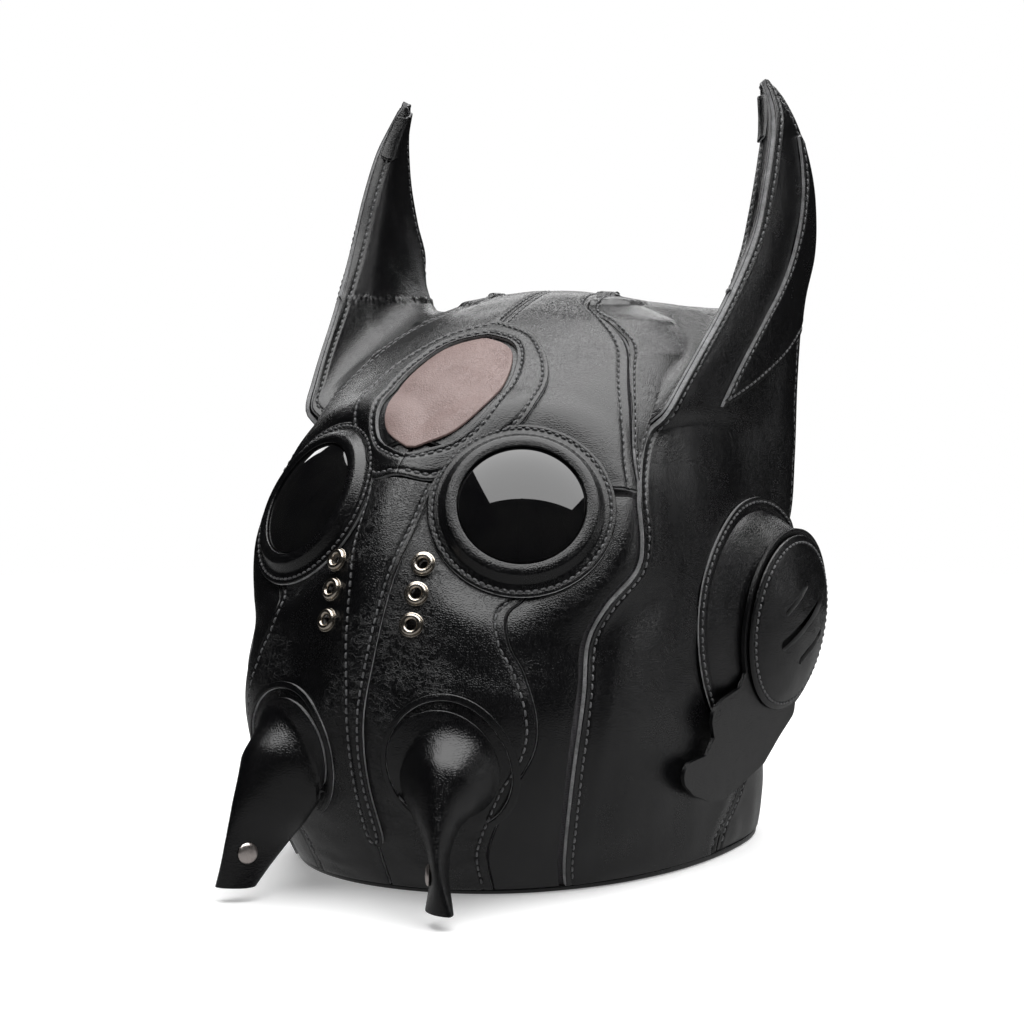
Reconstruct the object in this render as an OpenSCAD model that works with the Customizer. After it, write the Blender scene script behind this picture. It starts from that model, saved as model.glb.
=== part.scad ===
// Full-head masquerade mask: a stitched leather hood with goggle lenses, two swept horns,
// ear cups and a pair of curved mandibles at the mouth. Front is -Y, up is +Z, and the rim
// lies on z = 0. Sides are named for the wearer: left is +X.

/* [Hood] */
// Height of the hood's crown
hood_h = 269; // [240:1:300]
// Width of the hood at the ears
hood_w = 212; // [190:1:240]
// Shift of the whole mask along Y, which centres it over the origin
shift_y = -6.6; // [-20:0.1:20]

/* [Leather] */
// Thickness of the lining
lining_t = 1; // [0.8:0.1:2]
// Clear space between two leather layers
layer_gap = 0.6; // [0.3:0.1:1]
// Thickness of a leather panel
leather_t = 1.8; // [1.2:0.1:3]

/* [Goggles] */
// Sideways place of each eye
eye_x = 56; // [48:0.5:64]
// Depth of the eye rim's centre
eye_y = -78; // [-90:0.5:-60]
// Height of the eye rim's centre
eye_z = 174; // [150:0.5:200]
// Angle that each goggle turns outward
eye_out = 27; // [15:1:40]
// Angle that each goggle tips upward
eye_up = 28.5; // [10:0.5:40]
// Diameter of the leather ring
ring_d = 84; // [70:1:95]
// Diameter of the opening that shows the lens
opening_d = 57; // [45:1:65]

/* [Mandibles] */
// Width of a mandible at its root
mandible_w = 46; // [36:1:56]
// Width of a mandible at its cut tip
tip_w = 14; // [8:0.5:20]

/* [Fittings] */
// Outside diameter of an eyelet
eyelet_d = 10; // [8:0.5:14]
// Diameter of a rivet cap
rivet_d = 9.5; // [7:0.5:12]
// Diameter of the ear dome
ear_d = 86; // [70:1:96]
// Width of the zip's slider
slider_w = 9; // [7:0.5:12]

/* [Output] */
// Node to draw

/* [Hidden] */
$fn = 64;
pair = [["left", 1], ["right", -1]];
lining_lo = -0.7;
lining_hi = lining_lo + lining_t;
base_lo = 1.6;
base_hi = base_lo + leather_t;
over_lo = base_hi + layer_gap;
over_hi = over_lo + leather_t;

// Levels of the hood: height, front, back and widest Y, half width, front and back squareness
levels = [
    [0, -92, 148, 52, 104, 2.1, 2.5],
    [25, -106, 151, 52, 105, 2.3, 2.6],
    [55, -120, 153, 52, 105, 2.6, 2.6],
    [80, -124, 154, 52, 105, 2.75, 2.6],
    [105, -117, 154, 50, 105, 2.7, 2.6],
    [135, -108, 154, 47, 105, 2.5, 2.5],
    [164, -95.5, 153, 47, 105, 2.4, 2.4],
    [189, -78, 150, 50, 103, 2.3, 2.4],
    [214, -50, 144, 54, 98, 2.3, 2.3],
    [238, -13, 132, 60, 87, 2.2, 2.2],
    [254, 16, 114, 64, 67, 2.2, 2.1],
    [264, 42, 94, 67, 42, 2.1, 2],
    [268, 58, 80, 69, 18, 2, 2],
    [269, 69, 71, 70, 1, 2, 2],
];
top = len(levels) - 1;
wide = hood_w / 212;
tall = hood_h / 269;

function mix(a, b, k) = a + (b - a) * k;
function unit(v) = v / max(norm(v), 1e-9);
function clamp01(k) = min(max(k, 0), 1);
function smooth(k) = let(c = clamp01(k)) c * c * (3 - 2 * c);
function flip(p, side) = [side * p.x, p.y, p.z];

// A smooth curve through the points of v, at t counted in points
function curve(v, t) =
    let(
        n = len(v) - 1,
        i = min(floor(max(t, 0)), n - 1),
        f = t - i,
        a = v[max(i - 1, 0)],
        b = v[i],
        c = v[i + 1],
        d = v[min(i + 2, n)]
    )
    0.5 * (2 * b + (c - a) * f + (2 * a - 5 * b + 4 * c - d) * f * f + (3 * b - a - 3 * c + d) * f * f * f);
function along(v, s) = curve(v, s * (len(v) - 1));

// Goggle axis, and the seat that the hood is pressed flat to
function eye_axis(side) =
    [side * cos(eye_up) * sin(eye_out), -cos(eye_up) * cos(eye_out), sin(eye_up)];
function eye_rim(side) = [side * eye_x, eye_y, eye_z];
ring_rise = 7;
function press(p, side) =
    let(
        n = eye_axis(side),
        c = eye_rim(side) - (ring_rise + base_hi + 0.3) * n,
        h = (p - c) * n,
        r = norm(p - c - h * n),
        k = h > -40 ? smooth((64 - r) / 22) : 0
    )
    p - h * k * n;

// The hood's surface: a runs round from the front (0) over the left side (90) to the back (180),
// and t counts the levels from the rim to the crown
function bare(a, t) =
    let(
        r = curve(levels, t),
        n = cos(a) >= 0 ? r[5] : r[6],
        reach = cos(a) >= 0 ? r[1] - r[3] : r[3] - r[2],
        k = pow(pow(abs(sin(a)), n) + pow(abs(cos(a)), n), -1 / n)
    )
    nose_ridge([wide * r[4] * sin(a) * k, r[3] + reach * cos(a) * k, tall * r[0]]);
// The bridge of the nose stands up as a soft ridge
function nose_ridge(p) =
    p.y > 0 ? p : p - [0, 6 * exp(-p.x * p.x / 200) * smooth((p.z - 70) / 50) * smooth((205 - p.z) / 40), 0];
function hood(p) = press(press(bare(p.x, p.y), 1), -1);
function hood_normal(p) =
    unit(cross(hood(p + [0.5, 0]) - hood(p - [0.5, 0]), hood(p + [0, 0.03]) - hood(p - [0, 0.03])));
function on_hood(p, lift) = hood(p) + lift * hood_normal(p);
// The same, cut off level at the rim
function on_rim(p, lift) = let(q = on_hood(p, lift)) [q.x, q.y, max(q.z, 0)];

// The crown is drawn on a flat map with the pole in the middle, so a panel can cross it
function to_map(p) = (top - p.y) * [sin(p.x), cos(p.x)];
function from_map(m) = [atan2(m.x, m.y), top - norm(m)];

// Grid of n by m cells between two edges, by fractions along and across
function grid(n, m, at) = [for (i = [0:n]) [for (j = [0:m]) at(i / n, j / m)]];
function hood_patch(e0, e1, n, m) =
    grid(n, m, function(s, v) hood(mix(along(e0, s), along(e1, s), v)));
function crown_patch(e0, e1, n, m) =
    let(
        m0 = [for (p = e0) to_map(p)],
        m1 = [for (p = e1) to_map(p)],
        end = len(e0) - 1,
        end1 = len(e1) - 1,
        bow = function(a, b, v) (top - mix(a.y, b.y, v)) / norm(mix(to_map(a), to_map(b), v)),
        first = function(s, v) mix(1, bow(e0[0], e1[0], v), smooth(1 - 4 * s)),
        last = function(s, v) mix(1, bow(e0[end], e1[end1], v), smooth(3 * s - 2))
    )
    grid(n, m, function(s, v)
        hood(from_map(mix(along(m0, s), along(m1, s), v) * first(s, v) * last(s, v))));

function grid_normal(g, i, j) =
    let(n = len(g) - 1, m = len(g[0]) - 1)
    unit(cross(
        g[i][min(j + 1, m)] - g[i][max(j - 1, 0)],
        g[min(i + 1, n)][j] - g[max(i - 1, 0)][j]
    ));

// Closed sheet of leather between two lifts above a grid; side -1 mirrors it to the right
module sheet(g, lo, hi, side = 1) {
    n = len(g) - 1;
    m = len(g[0]) - 1;
    w = m + 1;
    low = [for (i = [0:n]) for (j = [0:m]) flip(g[i][j] + lo * grid_normal(g, i, j), side)];
    high = [for (i = [0:n]) for (j = [0:m]) flip(g[i][j] + hi * grid_normal(g, i, j), side)];
    o = len(low);
    quads = concat(
        [for (i = [0:n - 1]) for (j = [0:m - 1])
            let(a = i * w + j) [a, a + 1, a + w + 1, a + w]],
        [for (i = [0:n - 1]) for (j = [0:m - 1])
            let(a = o + i * w + j) [a, a + w, a + w + 1, a + 1]],
        [for (j = [0:m - 1]) [j, o + j, o + j + 1, j + 1]],
        [for (j = [0:m - 1]) let(a = n * w + j) [a, a + 1, o + a + 1, o + a]],
        [for (i = [0:n - 1]) let(a = i * w) [a, a + w, o + a + w, o + a]],
        [for (i = [0:n - 1]) let(a = i * w + m) [a, o + a, o + a + w, a + w]]
    );
    tris = [for (q = quads) each [[q[0], q[1], q[2]], [q[0], q[2], q[3]]]];
    faces = side > 0 ? tris : [for (f = tris) [f[2], f[1], f[0]]];
    polyhedron(points = concat(low, high), faces = faces);
}

// Closed shell all round the hood between two lifts, open at the rim
module dome(lo, hi, n, m) {
    rows = [for (i = [0:m - 1]) (top - 0.3) * i / (m - 1)];
    ring = function(lift) [for (t = rows) for (j = [0:n - 1]) on_rim([360 * j / n - 180, t], lift)];
    pole = hood([0, top]);
    points = concat(ring(hi), [pole + [0, 0, hi]], ring(lo), [pole + [0, 0, lo]]);
    c = n * m;
    o = c + 1;
    function k(i, j) = i * n + (j % n);
    quads = concat(
        [for (i = [0:m - 2]) for (j = [0:n - 1])
            [k(i, j), k(i + 1, j), k(i + 1, j + 1), k(i, j + 1)]],
        [for (i = [0:m - 2]) for (j = [0:n - 1])
            [o + k(i, j), o + k(i, j + 1), o + k(i + 1, j + 1), o + k(i + 1, j)]],
        [for (j = [0:n - 1]) [k(0, j), k(0, j + 1), o + k(0, j + 1), o + k(0, j)]]
    );
    caps = concat(
        [for (j = [0:n - 1]) [k(m - 1, j), c, k(m - 1, j + 1)]],
        [for (j = [0:n - 1]) [o + k(m - 1, j), o + k(m - 1, j + 1), o + c]]
    );
    polyhedron(
        points = points,
        faces = concat(caps, [for (q = quads) each [[q[0], q[1], q[2]], [q[0], q[2], q[3]]]])
    );
}

// Level of the panels' lower edge, and panel edges on the left half as [angle, level]
low_t = 0.22;
cheek_seam = [
    [25, low_t], [26, 0.93], [32, 1.7], [38, 2.45], [39, 3.1], [36, 3.85], [32.5, 4.3], [31.5, 4.7],
    [35, 5.05], [31, 5.8], [24, 6.88],
];
side_front = [
    [40, low_t], [41, 0.78], [45, 2.08], [47, 3.43], [47, 4.3], [50.5, 4.75], [56.5, 5.18],
    [57.2, 5.58], [55.5, 6.28], [54.8, 7.1], [56, 7.6],
];
temple = [
    [55, 6.4], [52.5, 7.12], [50.5, 7.83], [48.5, 8.5], [47.5, 9.2], [44, 9.78], [37, 10.4],
    [48, 11.1], [90, 11.5], [130, 11], [143, 10.2], [143, 9.2], [141, 8.2],
];
back_edge = [
    [80, low_t], [82, 0.6], [90, 1.15], [100, 2], [107, 3.2], [112, 4.4],
];
brow_outer = [
    [0, 9.82], [14, 9.5], [21, 9.08], [27, 8.4], [25, 7.75], [17, 7.2], [9, 6.78], [0, 6.76],
];
brow_inner = [
    [0, 9.38], [9, 9.22], [14, 8.95], [17, 8.45], [16, 7.95], [10.5, 7.42], [3.5, 7.16], [0, 7.08],
];
nose_half = [
    [0.5, 0.98], [2.5, 1.15], [2.5, 2], [2.7, 3], [3.5, 4], [5, 5], [7.2, 6], [9, 6.7],
];

function shifted(edge, by) = [for (p = edge) p + [by, 0]];
function front_half(edge) = [for (i = [0:6]) edge[i]];

// Leading and trailing edges of the left horn, from its base up to the tip
lead = [
    [95.6, -12, 213], [99, -1, 226], [102.5, 13.5, 242], [106, 29.5, 259], [109.4, 46, 279],
    [111.8, 60.5, 300], [112, 72, 324], [110.8, 83, 346], [107.6, 91, 360], [101, 96.3, 375],
];
trail = [
    [106, 102, 140], [111, 109, 160], [112, 112, 190], [112, 115, 230], [112, 123, 268],
    [113, 134, 293], [115, 129, 313], [115, 122, 333], [112, 114, 352], [107, 106, 366],
    [101.5, 98, 375],
];

// The side of the head as x over (y, z): the hood, flared out behind the ear
function level_at(z) = lookup(z / tall, [for (i = [0:top]) [levels[i][0], i]]);
function hood_x(y, z) =
    let(
        r = curve(levels, level_at(z)),
        n = y < r[3] ? r[5] : r[6],
        reach = y < r[3] ? r[3] - r[1] : r[2] - r[3],
        q = min(abs(y - r[3]) / reach, 0.98)
    )
    wide * r[4] * pow(1 - pow(q, n), 1 / n);
function side_x(y, z) =
    base_lo + mix(hood_x(y, z), 107.5 + 0.065 * (y - 40), smooth((z - 118) / 40) * smooth((y - 35) / 60));
// The front of the hood as y over (x, z)
function front_y(x, z) =
    let(r = curve(levels, level_at(z)), q = min(abs(x) / (wide * r[4]), 0.98))
    nose_ridge([x, r[3] + (r[1] - r[3]) * pow(1 - pow(q, r[5]), 1 / r[5]), z]).y;

side_front_3d = concat([for (p = side_front) on_hood(p, base_lo)], lead);
side_back_3d = concat([for (p = back_edge) on_hood(p, base_lo)], trail);
function side_at(s, v) =
    let(
        c = mix(along(side_front_3d, s), along(side_back_3d, s), v),
        horn = c + [24 * v * (1 - v) * smooth((380 - c.z) / 120), 0, 0],
        a = side_x(c.y, c.z),
        b = c.x + 12 * v * (1 - v),
        low = [(a + b + sqrt((a - b) * (a - b) + 4)) / 2, c.y, c.z],
        near = smooth(v / 0.1) * smooth((1 - v) / 0.1)
    )
    mix(c, mix(low, horn, smooth((c.z - 212) / 46)), near);

// Inner face of the horn: off the temple seam, over the side of the crown and up to the tip
inner_lead = concat([for (i = [8:10]) on_hood(side_front[i], base_lo)], lead);
inner_trail = [for (i = [2:10]) trail[i]];
inner_base = concat(
    [for (p = temple) on_hood(p + [p.x < 90 ? 0.8 : -0.8, 0], base_lo)], [[93, 124, 204], trail[2]]
);
inner_mid = [
    along(inner_base, 0.5), [60, 62, 259], [84, 60, 249], [98, 62, 257], [104, 68, 282],
    [106, 79, 318], [106, 88, 348], mix(lead[9], trail[10], 0.5),
];
function inner_at(s, v) =
    let(
        flat = mix(along(inner_lead, s), along(inner_trail, s), v),
        hump = 4 * v * (1 - v),
        l0 = mix(inner_lead[0], inner_trail[0], v),
        half = mix(along(inner_lead, s), along(inner_trail, s), 0.5),
        half0 = mix(inner_lead[0], inner_trail[0], 0.5),
        start = along(inner_base, v) - l0 - hump * (inner_mid[0] - half0)
    )
    outside(flat + hump * (along(inner_mid, s) - half) + start * pow(1 - s, 4), base_lo);

// How far outside the hood a point lies, as a fraction of the hood's width at its level
function beyond(p) =
    let(
        r = curve(levels, level_at(p.z)),
        n = p.y < r[3] ? r[5] : r[6],
        reach = p.y < r[3] ? r[3] - r[1] : r[2] - r[3]
    )
    pow(pow(abs(p.x) / (wide * r[4]), n) + pow(abs(p.y - r[3]) / reach, n), 1 / n) - 1;
// Pushes a point out until it stands that far off the hood
function outside(p, lift, turns = 3) =
    let(
        g = [for (e = [[0.5, 0, 0], [0, 0.5, 0], [0, 0, 0.5]]) beyond(p + e) - beyond(p - e)],
        size = max(norm(g), 1e-6),
        d = beyond(p) / size
    )
    turns == 0 || d >= lift ? p : outside(p + (lift - d) / size * g, lift, turns - 1);

module lining() {
    color("#2a2628")
    difference() {
        dome(lining_lo, lining_hi, 48, 20);
        for (p = pair) place_eye(p[1], -30) cylinder(d = opening_d, h = 40);
    }
}

module place_eye(side, lift = 0) {
    translate(eye_rim(side) + lift * eye_axis(side))
    rotate([0, 0, side * eye_out])
    rotate([90 - eye_up, 0, 0])
    children();
}

module muzzle_panel(side) {
    color("#17171a")
    difference() {
        sheet(
            hood_patch([for (s = [0:4]) [0.4, mix(low_t, 7.33, s / 4)]], shifted(cheek_seam, -0.5), 22, 7),
            base_lo, base_hi, side
        );
        place_eye(side, -30) cylinder(d = opening_d + 5, h = 40);
    }
}

module cheek_panel(side) {
    color("#121214")
    difference() {
        sheet(
            hood_patch(cheek_seam, shifted([for (i = [0:8]) side_front[i]], -1.2), 22, 4),
            base_lo, base_hi, side
        );
        place_eye(side, -30) cylinder(d = opening_d + 5, h = 40);
    }
}

module crown_panel(side) {
    centre = [
        [0.4, 7.4], [0.4, 8.2], [0.4, 9.2], [0.4, 10], [0.4, 10.7], [0.4, 11.4], [0.4, 12.2],
        [179, 12.7], [179.4, 12], [179.5, 11], [179.5, 10], [179.5, 9], [179.5, 8.2],
    ];
    color("#1c1c1f")
    difference() {
        sheet(crown_patch(centre, temple, 26, 8), base_lo, base_hi, side);
        place_eye(side, -30) cylinder(d = opening_d + 5, h = 40);
    }
}

module side_panel(side) {
    color("#101012")
    sheet(grid(34, 9, function(s, v) side_at(s, v)), 0.1, leather_t + 0.8, side);
}

module horn_inner_panel(side) {
    color("#151517")
    sheet(
        grid(18, 14, function(s, v)
            inner_at(s, mix(0.988 - 0.04 * pow(1 - s, 5), 0.012 + 0.022 * pow(1 - s, 4), v))
        ),
        0.2, leather_t, side
    );
}

// The back panel leaves the fin behind the ear and settles on the hood towards the zip
back_rail = concat(
    [for (p = back_edge) on_hood(p + [0.8, 0], base_lo)],
    [for (i = [0:2]) trail[i] + [-0.6, 0.8, -2.5]]
);
back_angle = concat([for (p = back_edge) p + [0.8, 0]], [[118, 5.3], [124, 6.3], [129, 7.3]]);
function back_at(s, v) =
    let(
        edge = along(back_angle, s),
        level = mix(edge.y, mix(low_t, 8.08, s), smooth(v / 0.35)),
        on = on_hood([mix(edge.x, 176.5, v), level], base_lo)
    )
    on + (along(back_rail, s) - on_hood(edge, base_lo)) * (1 - smooth(v / 0.6));
module back_panel(side) {
    color("#121214")
    sheet(grid(16, 9, function(s, v) back_at(s, v)), 0, leather_t, side);
}

// Forehead frame: a ring of leather round the oval inset
module brow_frame() {
    color("#1d1d20")
    difference() {
        union()
        for (side = [1, -1])
            sheet(hood_patch(
                [for (i = [7:-1:0]) brow_inner[i]], [for (i = [7:-1:0]) brow_outer[i]], 20, 3
            ), over_lo, over_hi, side);
        for (p = pair) place_eye(p[1], -30) cylinder(d = ring_d + 1.5, h = 60);
    }
}

module nose_strip() {
    left = [for (p = nose_half) [-p.x, p.y]];
    color("#18181b")
    difference() {
        sheet(hood_patch(left, nose_half, 24, 4), over_lo, over_hi);
        for (p = pair) place_eye(p[1], -30) cylinder(d = ring_d + 1.5, h = 60);
    }
}

module forehead_inset() {
    edge = [
        [1, 7.2], [9, 7.5], [14.6, 8], [15.6, 8.45], [12.8, 8.92], [8, 9.16], [1, 9.3],
    ];
    left = [for (p = edge) [-p.x, p.y]];
    color("#9c7f7c")
    sheet(hood_patch(left, edge, 12, 8), over_lo, over_hi - 0.8);
}

// Leather ring of a goggle, dished out from its foot to the rim of the opening
module eye_ring(side) {
    color("#1b1b1e")
    place_eye(side, -ring_rise)
    rotate_extrude()
    polygon([
        [opening_d / 2 + 4, 0], [ring_d / 2, 0], [ring_d / 2, 1.8], [ring_d / 2 - 5, 2.4],
        [opening_d / 2 + 3, ring_rise], [opening_d / 2, ring_rise], [opening_d / 2, 4.6],
        [opening_d / 2 + 2.2, 4.2],
    ]);
}

module lens(side) {
    r = opening_d / 2 - 0.6;
    bulge = 7;
    ball = (r * r + bulge * bulge) / (2 * bulge);
    color("#0b0b0d")
    place_eye(side, -6)
    intersection() {
        cylinder(r = r, h = 20);
        translate([0, 0, bulge + 5 - ball]) sphere(r = ball, $fn = 128);
    }
}

module lens_gasket(side) {
    color("#0a0a0a")
    place_eye(side, -ring_rise - 0.2)
    difference() {
        cylinder(d = opening_d + 3.6, h = 3.9);
        translate([0, 0, -1]) cylinder(d = opening_d - 0.6, h = 8);
    }
}

// Places of the three vent eyelets beside the nose
vent = [[21, 147], [20.5, 134.5], [20.5, 121.5]];
module place_vent(i, side, lift) {
    p = [vent[i].x, front_y(vent[i].x, vent[i].y), vent[i].y];
    tip = atan2(front_y(p.x, p.z - 5) - front_y(p.x, p.z + 5), 10);
    turn = atan2(front_y(p.x + 5, p.z) - front_y(p.x - 5, p.z), 10);
    translate(flip(p, side))
    rotate([0, 0, side * turn])
    rotate([90 + tip, 0, 0])
    translate([0, 0, lift])
    children();
}

module eyelet(i, side) {
    color("#c9c2b8")
    place_vent(i, side, base_hi + 0.9)
    rotate_extrude()
    translate([eyelet_d / 2 - 1.6, 0])
    intersection() {
        circle(r = 1.5);
        translate([-2, 0]) square([4, 2]);
    }
}

module washer(i, side) {
    color("#b5aca0")
    place_vent(i, side, base_hi + 0.25)
    difference() {
        cylinder(d = eyelet_d + 1.2, h = 0.6);
        translate([0, 0, -1]) cylinder(d = eyelet_d - 6, h = 3);
    }
}

// A mandible is one sheet folded round a front ridge; its two rear flaps meet behind
ridge = [[39, -119, 88], [43, -135, 70], [48, -145, 49], [52, -150, 28], [55.5, -151, 6]];
heel = [[39, -112, 38], [37, -115, 36], [36, -116, 31], [40, -121, 22], [47, -139, 6]];
widths = [1, 0.8, 0.46, 0.2, 0.3];
function fang_at(s, v) =
    let(
        turn = mix(-166, 166, v),
        w = s < 0.999 ? along(widths, s) * mandible_w : tip_w,
        p = mix(along(ridge, s), along(heel, s), (1 - cos(turn)) / 2) + [w / 2 * sin(turn), 0, 0],
        skin = front_y(p.x, max(p.z, 10)) - base_hi - 2.6
    )
    [p.x, min(mix(skin, p.y, smooth(s / 0.3)), skin), p.z];
module mandible(side) {
    color("#141416")
    sheet(grid(16, 18, function(s, v) fang_at(s, v)), 0, leather_t, side);
}

module mandible_collar(side) {
    c = mix(ridge[0], heel[0], 0.5);
    at = function(s, v)
        let(
            turn = mix(150, -150, s),
            k = mix(1.05, 1.16, v),
            x = c.x + k * mandible_w / 2 * sin(turn),
            z = c.z + (k + 0.05) * (ridge[0].z - heel[0].z) / 2 * cos(turn)
        )
        [x, front_y(x, z), z];
    color("#1a1a1c")
    sheet(grid(28, 2, at), base_hi + 0.3, base_hi + leather_t, side);
}

module mandible_rivet(side) {
    s = 0.81;
    v = 0.31;
    p = fang_at(s, v);
    n = unit(cross(fang_at(s + 0.01, v) - fang_at(s - 0.01, v), fang_at(s, v + 0.01) - fang_at(s, v - 0.01)));
    q = flip(n, side);
    color("#d8cdc8")
    translate(flip(p + 0.35 * n, side))
    rotate([0, acos(q.z), atan2(q.y, q.x)])
    intersection() {
        cylinder(d = rivet_d, h = 3);
        translate([0, 0, 1.6 - rivet_d]) sphere(r = rivet_d);
    }
}

// Ear cup: a sloping wall, a flat plate with a swept tail, and a slotted dome on top
ear_at = [123.5, 72, 110];
ear_turn = 5;
module place_ear(side) {
    translate(flip(ear_at, side))
    rotate([0, 0, -ear_turn * side])
    rotate([0, side * (90 + ear_turn), 0])
    children();
}
function ear_plane(y, z) = ear_at.x + (y - ear_at.y) * tan(ear_turn) + (z - ear_at.z) * tan(ear_turn);

function ear_wall_at(s, v) =
    let(
        turn = mix(-88, 268, s),
        foot_y = 64 + (cos(turn) < 0 ? 60 : 48) * cos(turn),
        foot_z = 111 + 54 * sin(turn),
        head_y = ear_at.y + 44 * cos(turn),
        head_z = ear_at.z + 44 * sin(turn),
        foot = [side_x(foot_y, foot_z) + leather_t + 3.4, foot_y, foot_z],
        head = [ear_plane(head_y, head_z) - 0.6, head_y, head_z]
    )
    mix(foot, head, v);
module ear_wall(side) {
    color("#161618")
    sheet(grid(40, 3, function(s, v) ear_wall_at(s, v)), 0, leather_t, side);
}

tail = [
    [-68, -27], [-84, -30], [-94, -34], [-95, -40], [-91, -48], [-97, -55], [-115, -56], [-120, -60],
    [-117, -66], [-108, -72], [-91, -78], [-77, -79.5], [-65, -77.5], [-34, -68.5], [-19, -57.5], [-4, -48],
];
module ear_plate(side) {
    color("#131315")
    place_ear(side)
    linear_extrude(leather_t) {
        circle(d = ear_d + 6);
        offset(5) offset(-5) polygon(concat(
            [for (p = tail) [-side * p.y, p.x + 22]], [[side * 20, 20], [0, 0], [side * 6, -30]]
        ));
    }
}

slots = [[0, 19.5, -19, 7.5, 3], [18, 10.2, -18.5, -8, 6], [22, -6.5, 0, -17.5, 4]];
module ear_dome(side) {
    r = ear_d / 2;
    bulge = 9;
    ball = (r * r + bulge * bulge) / (2 * bulge);
    color("#17171a")
    place_ear(side)
    translate([0, 0, leather_t + 0.15])
    difference() {
        intersection() {
            cylinder(r = r, h = 20);
            translate([0, 0, bulge + 1.5 - ball]) sphere(r = ball, $fn = 128);
        }
        translate([0, 0, -0.01])
        intersection() {
            cylinder(r = r - 3, h = 20);
            translate([0, 0, bulge - 0.8 - ball]) sphere(r = ball, $fn = 128);
        }
        for (q = slots) slot(q, side);
    }
}

module slot(q, side) {
    run = [q[2] - q[0], q[3] - q[1]];
    translate([-side * q[1], q[0], 0])
    rotate([0, 0, atan2(run.x, -side * run.y)]) {
        translate([0, -q[4] / 2, 0]) cube([norm(run), q[4], 20]);
        for (x = [0, norm(run)]) translate([x, 0, 0]) cylinder(d = q[4], h = 20);
    }
}

// Patch that caps the inner tip, and the long swept overlay on the outside of the horn
module horn_tip_patch(side) {
    color("#19191b")
    sheet(
        grid(4, 3, function(s, v) inner_at(mix(0.84, 0.95, s), mix(0.85, 0.15, v))),
        leather_t + 0.8, leather_t + 1.7, side
    );
}

module horn_overlay(side) {
    at = function(s, v)
        side_at(mix(0.55, 0.87, s) + 0.05 * v * (1 - s), mix(mix(0.33, 0.8, pow(s, 1.2)), mix(0.95, 0.88, s * s), v));
    color("#0f0f11")
    sheet(grid(12, 4, at), leather_t + 1.5, 2 * leather_t + 1.3, side);
}

module neck_band() {
    color("#0d0d0e")
    ring_band(0, low_t - 0.04, base_lo, base_lo + 1.2, 60);
}

// Closed band all round the hood between two levels
module ring_band(t0, t1, lo, hi, n) {
    function at(t, lift) = [for (j = [0:n - 1]) on_rim([360 * j / n - 180, t], lift)];
    points = concat(at(t0, lo), at(t0, hi), at(t1, hi), at(t1, lo));
    quads = [for (k = [0:3]) for (j = [0:n - 1])
        let(a = k * n, b = ((k + 1) % 4) * n, c = (j + 1) % n)
        [a + j, b + j, b + c, a + c]];
    polyhedron(
        points = points,
        faces = [for (q = quads) each [[q[0], q[1], q[2]], [q[0], q[2], q[3]]]]
    );
}

// Rear zip: two tapes, two rows of teeth, a slider and its pull
zip_y = 158;
zip_from = 10;
zip_to = 176;
module zip_tape(side) {
    color("#1a1a1a")
    sheet(
        hood_patch(
            [for (s = [0:3]) [176.9, mix(0.4, 6.4, s / 3)]],
            [for (s = [0:3]) [179.8, mix(0.4, 6.4, s / 3)]], 12, 2
        ),
        base_lo, base_lo + 0.8, side
    );
}

module zip_teeth(side) {
    pitch = 4;
    color("#8d8d90")
    translate([0, zip_y, 0]) {
        translate([side > 0 ? 1.4 : -3, 0, zip_from]) cube([1.6, 1.6, zip_to - zip_from]);
        for (z = [zip_from + (side > 0 ? 1 : 3):pitch:zip_to - 3])
            translate([side > 0 ? -0.9 : -1.6, 0, z]) cube([2.5, 1.6, 1.4]);
    }
}

module zip_slider() {
    color("#9a9a9c")
    translate([0, zip_y, zip_from + 1]) {
        translate([-slider_w / 2, 2, 0]) cube([slider_w, 1.6, 12]);
        for (x = [-slider_w / 2, slider_w / 2 - 1.2]) translate([x, -0.6, 0]) cube([1.2, 3, 12]);
        for (x = [-2.6, 1.6]) translate([x, 3.4, 6.5]) cube([1, 2.6, 3]);
        translate([-2.6, 5, 8]) rotate([0, 90, 0]) cylinder(d = 1.3, h = 5.2);
    }
}

module zip_pull() {
    color("#a6a6a8")
    translate([0, zip_y + 5, zip_from + 9])
    difference() {
        union() {
            rotate([0, 90, 0]) cylinder(d = 2.6, h = 2.6, center = true);
            translate([-1.3, -0.5, -5]) cube([2.6, 1, 5]);
            translate([-3, -0.5, -16]) cube([6, 1, 12]);
        }
        rotate([0, 90, 0]) cylinder(d = 1.4, h = 8, center = true);
        translate([0, 3, -12.5]) rotate([90, 0, 0]) cylinder(d = 3, h = 6);
    }
}

paired = [
    "muzzle_panel", "cheek_panel", "crown_panel", "side_panel", "horn_inner_panel",
    "horn_tip_patch", "horn_overlay", "back_panel", "eye_ring", "lens", "lens_gasket",
    "mandible", "mandible_collar", "mandible_rivet", "ear_wall", "ear_plate", "ear_dome",
    "zip_tape", "zip_teeth",
];

translate([0, shift_y, 0]) {
    lining();
    brow_frame();
    nose_strip();
    forehead_inset();
    neck_band();
    zip_slider();
    zip_pull();
    for (p = pair) {
        muzzle_panel(p[1]);
        cheek_panel(p[1]);
        crown_panel(p[1]);
        side_panel(p[1]);
        horn_inner_panel(p[1]);
        horn_tip_patch(p[1]);
        horn_overlay(p[1]);
        back_panel(p[1]);
        eye_ring(p[1]);
        lens(p[1]);
        lens_gasket(p[1]);
        mandible(p[1]);
        mandible_collar(p[1]);
        mandible_rivet(p[1]);
        ear_wall(p[1]);
        ear_plate(p[1]);
        ear_dome(p[1]);
        zip_tape(p[1]);
        zip_teeth(p[1]);
        for (i = [1:3]) {
            eyelet(i - 1, p[1]);
            washer(i - 1, p[1]);
        }
    }
}
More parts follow.
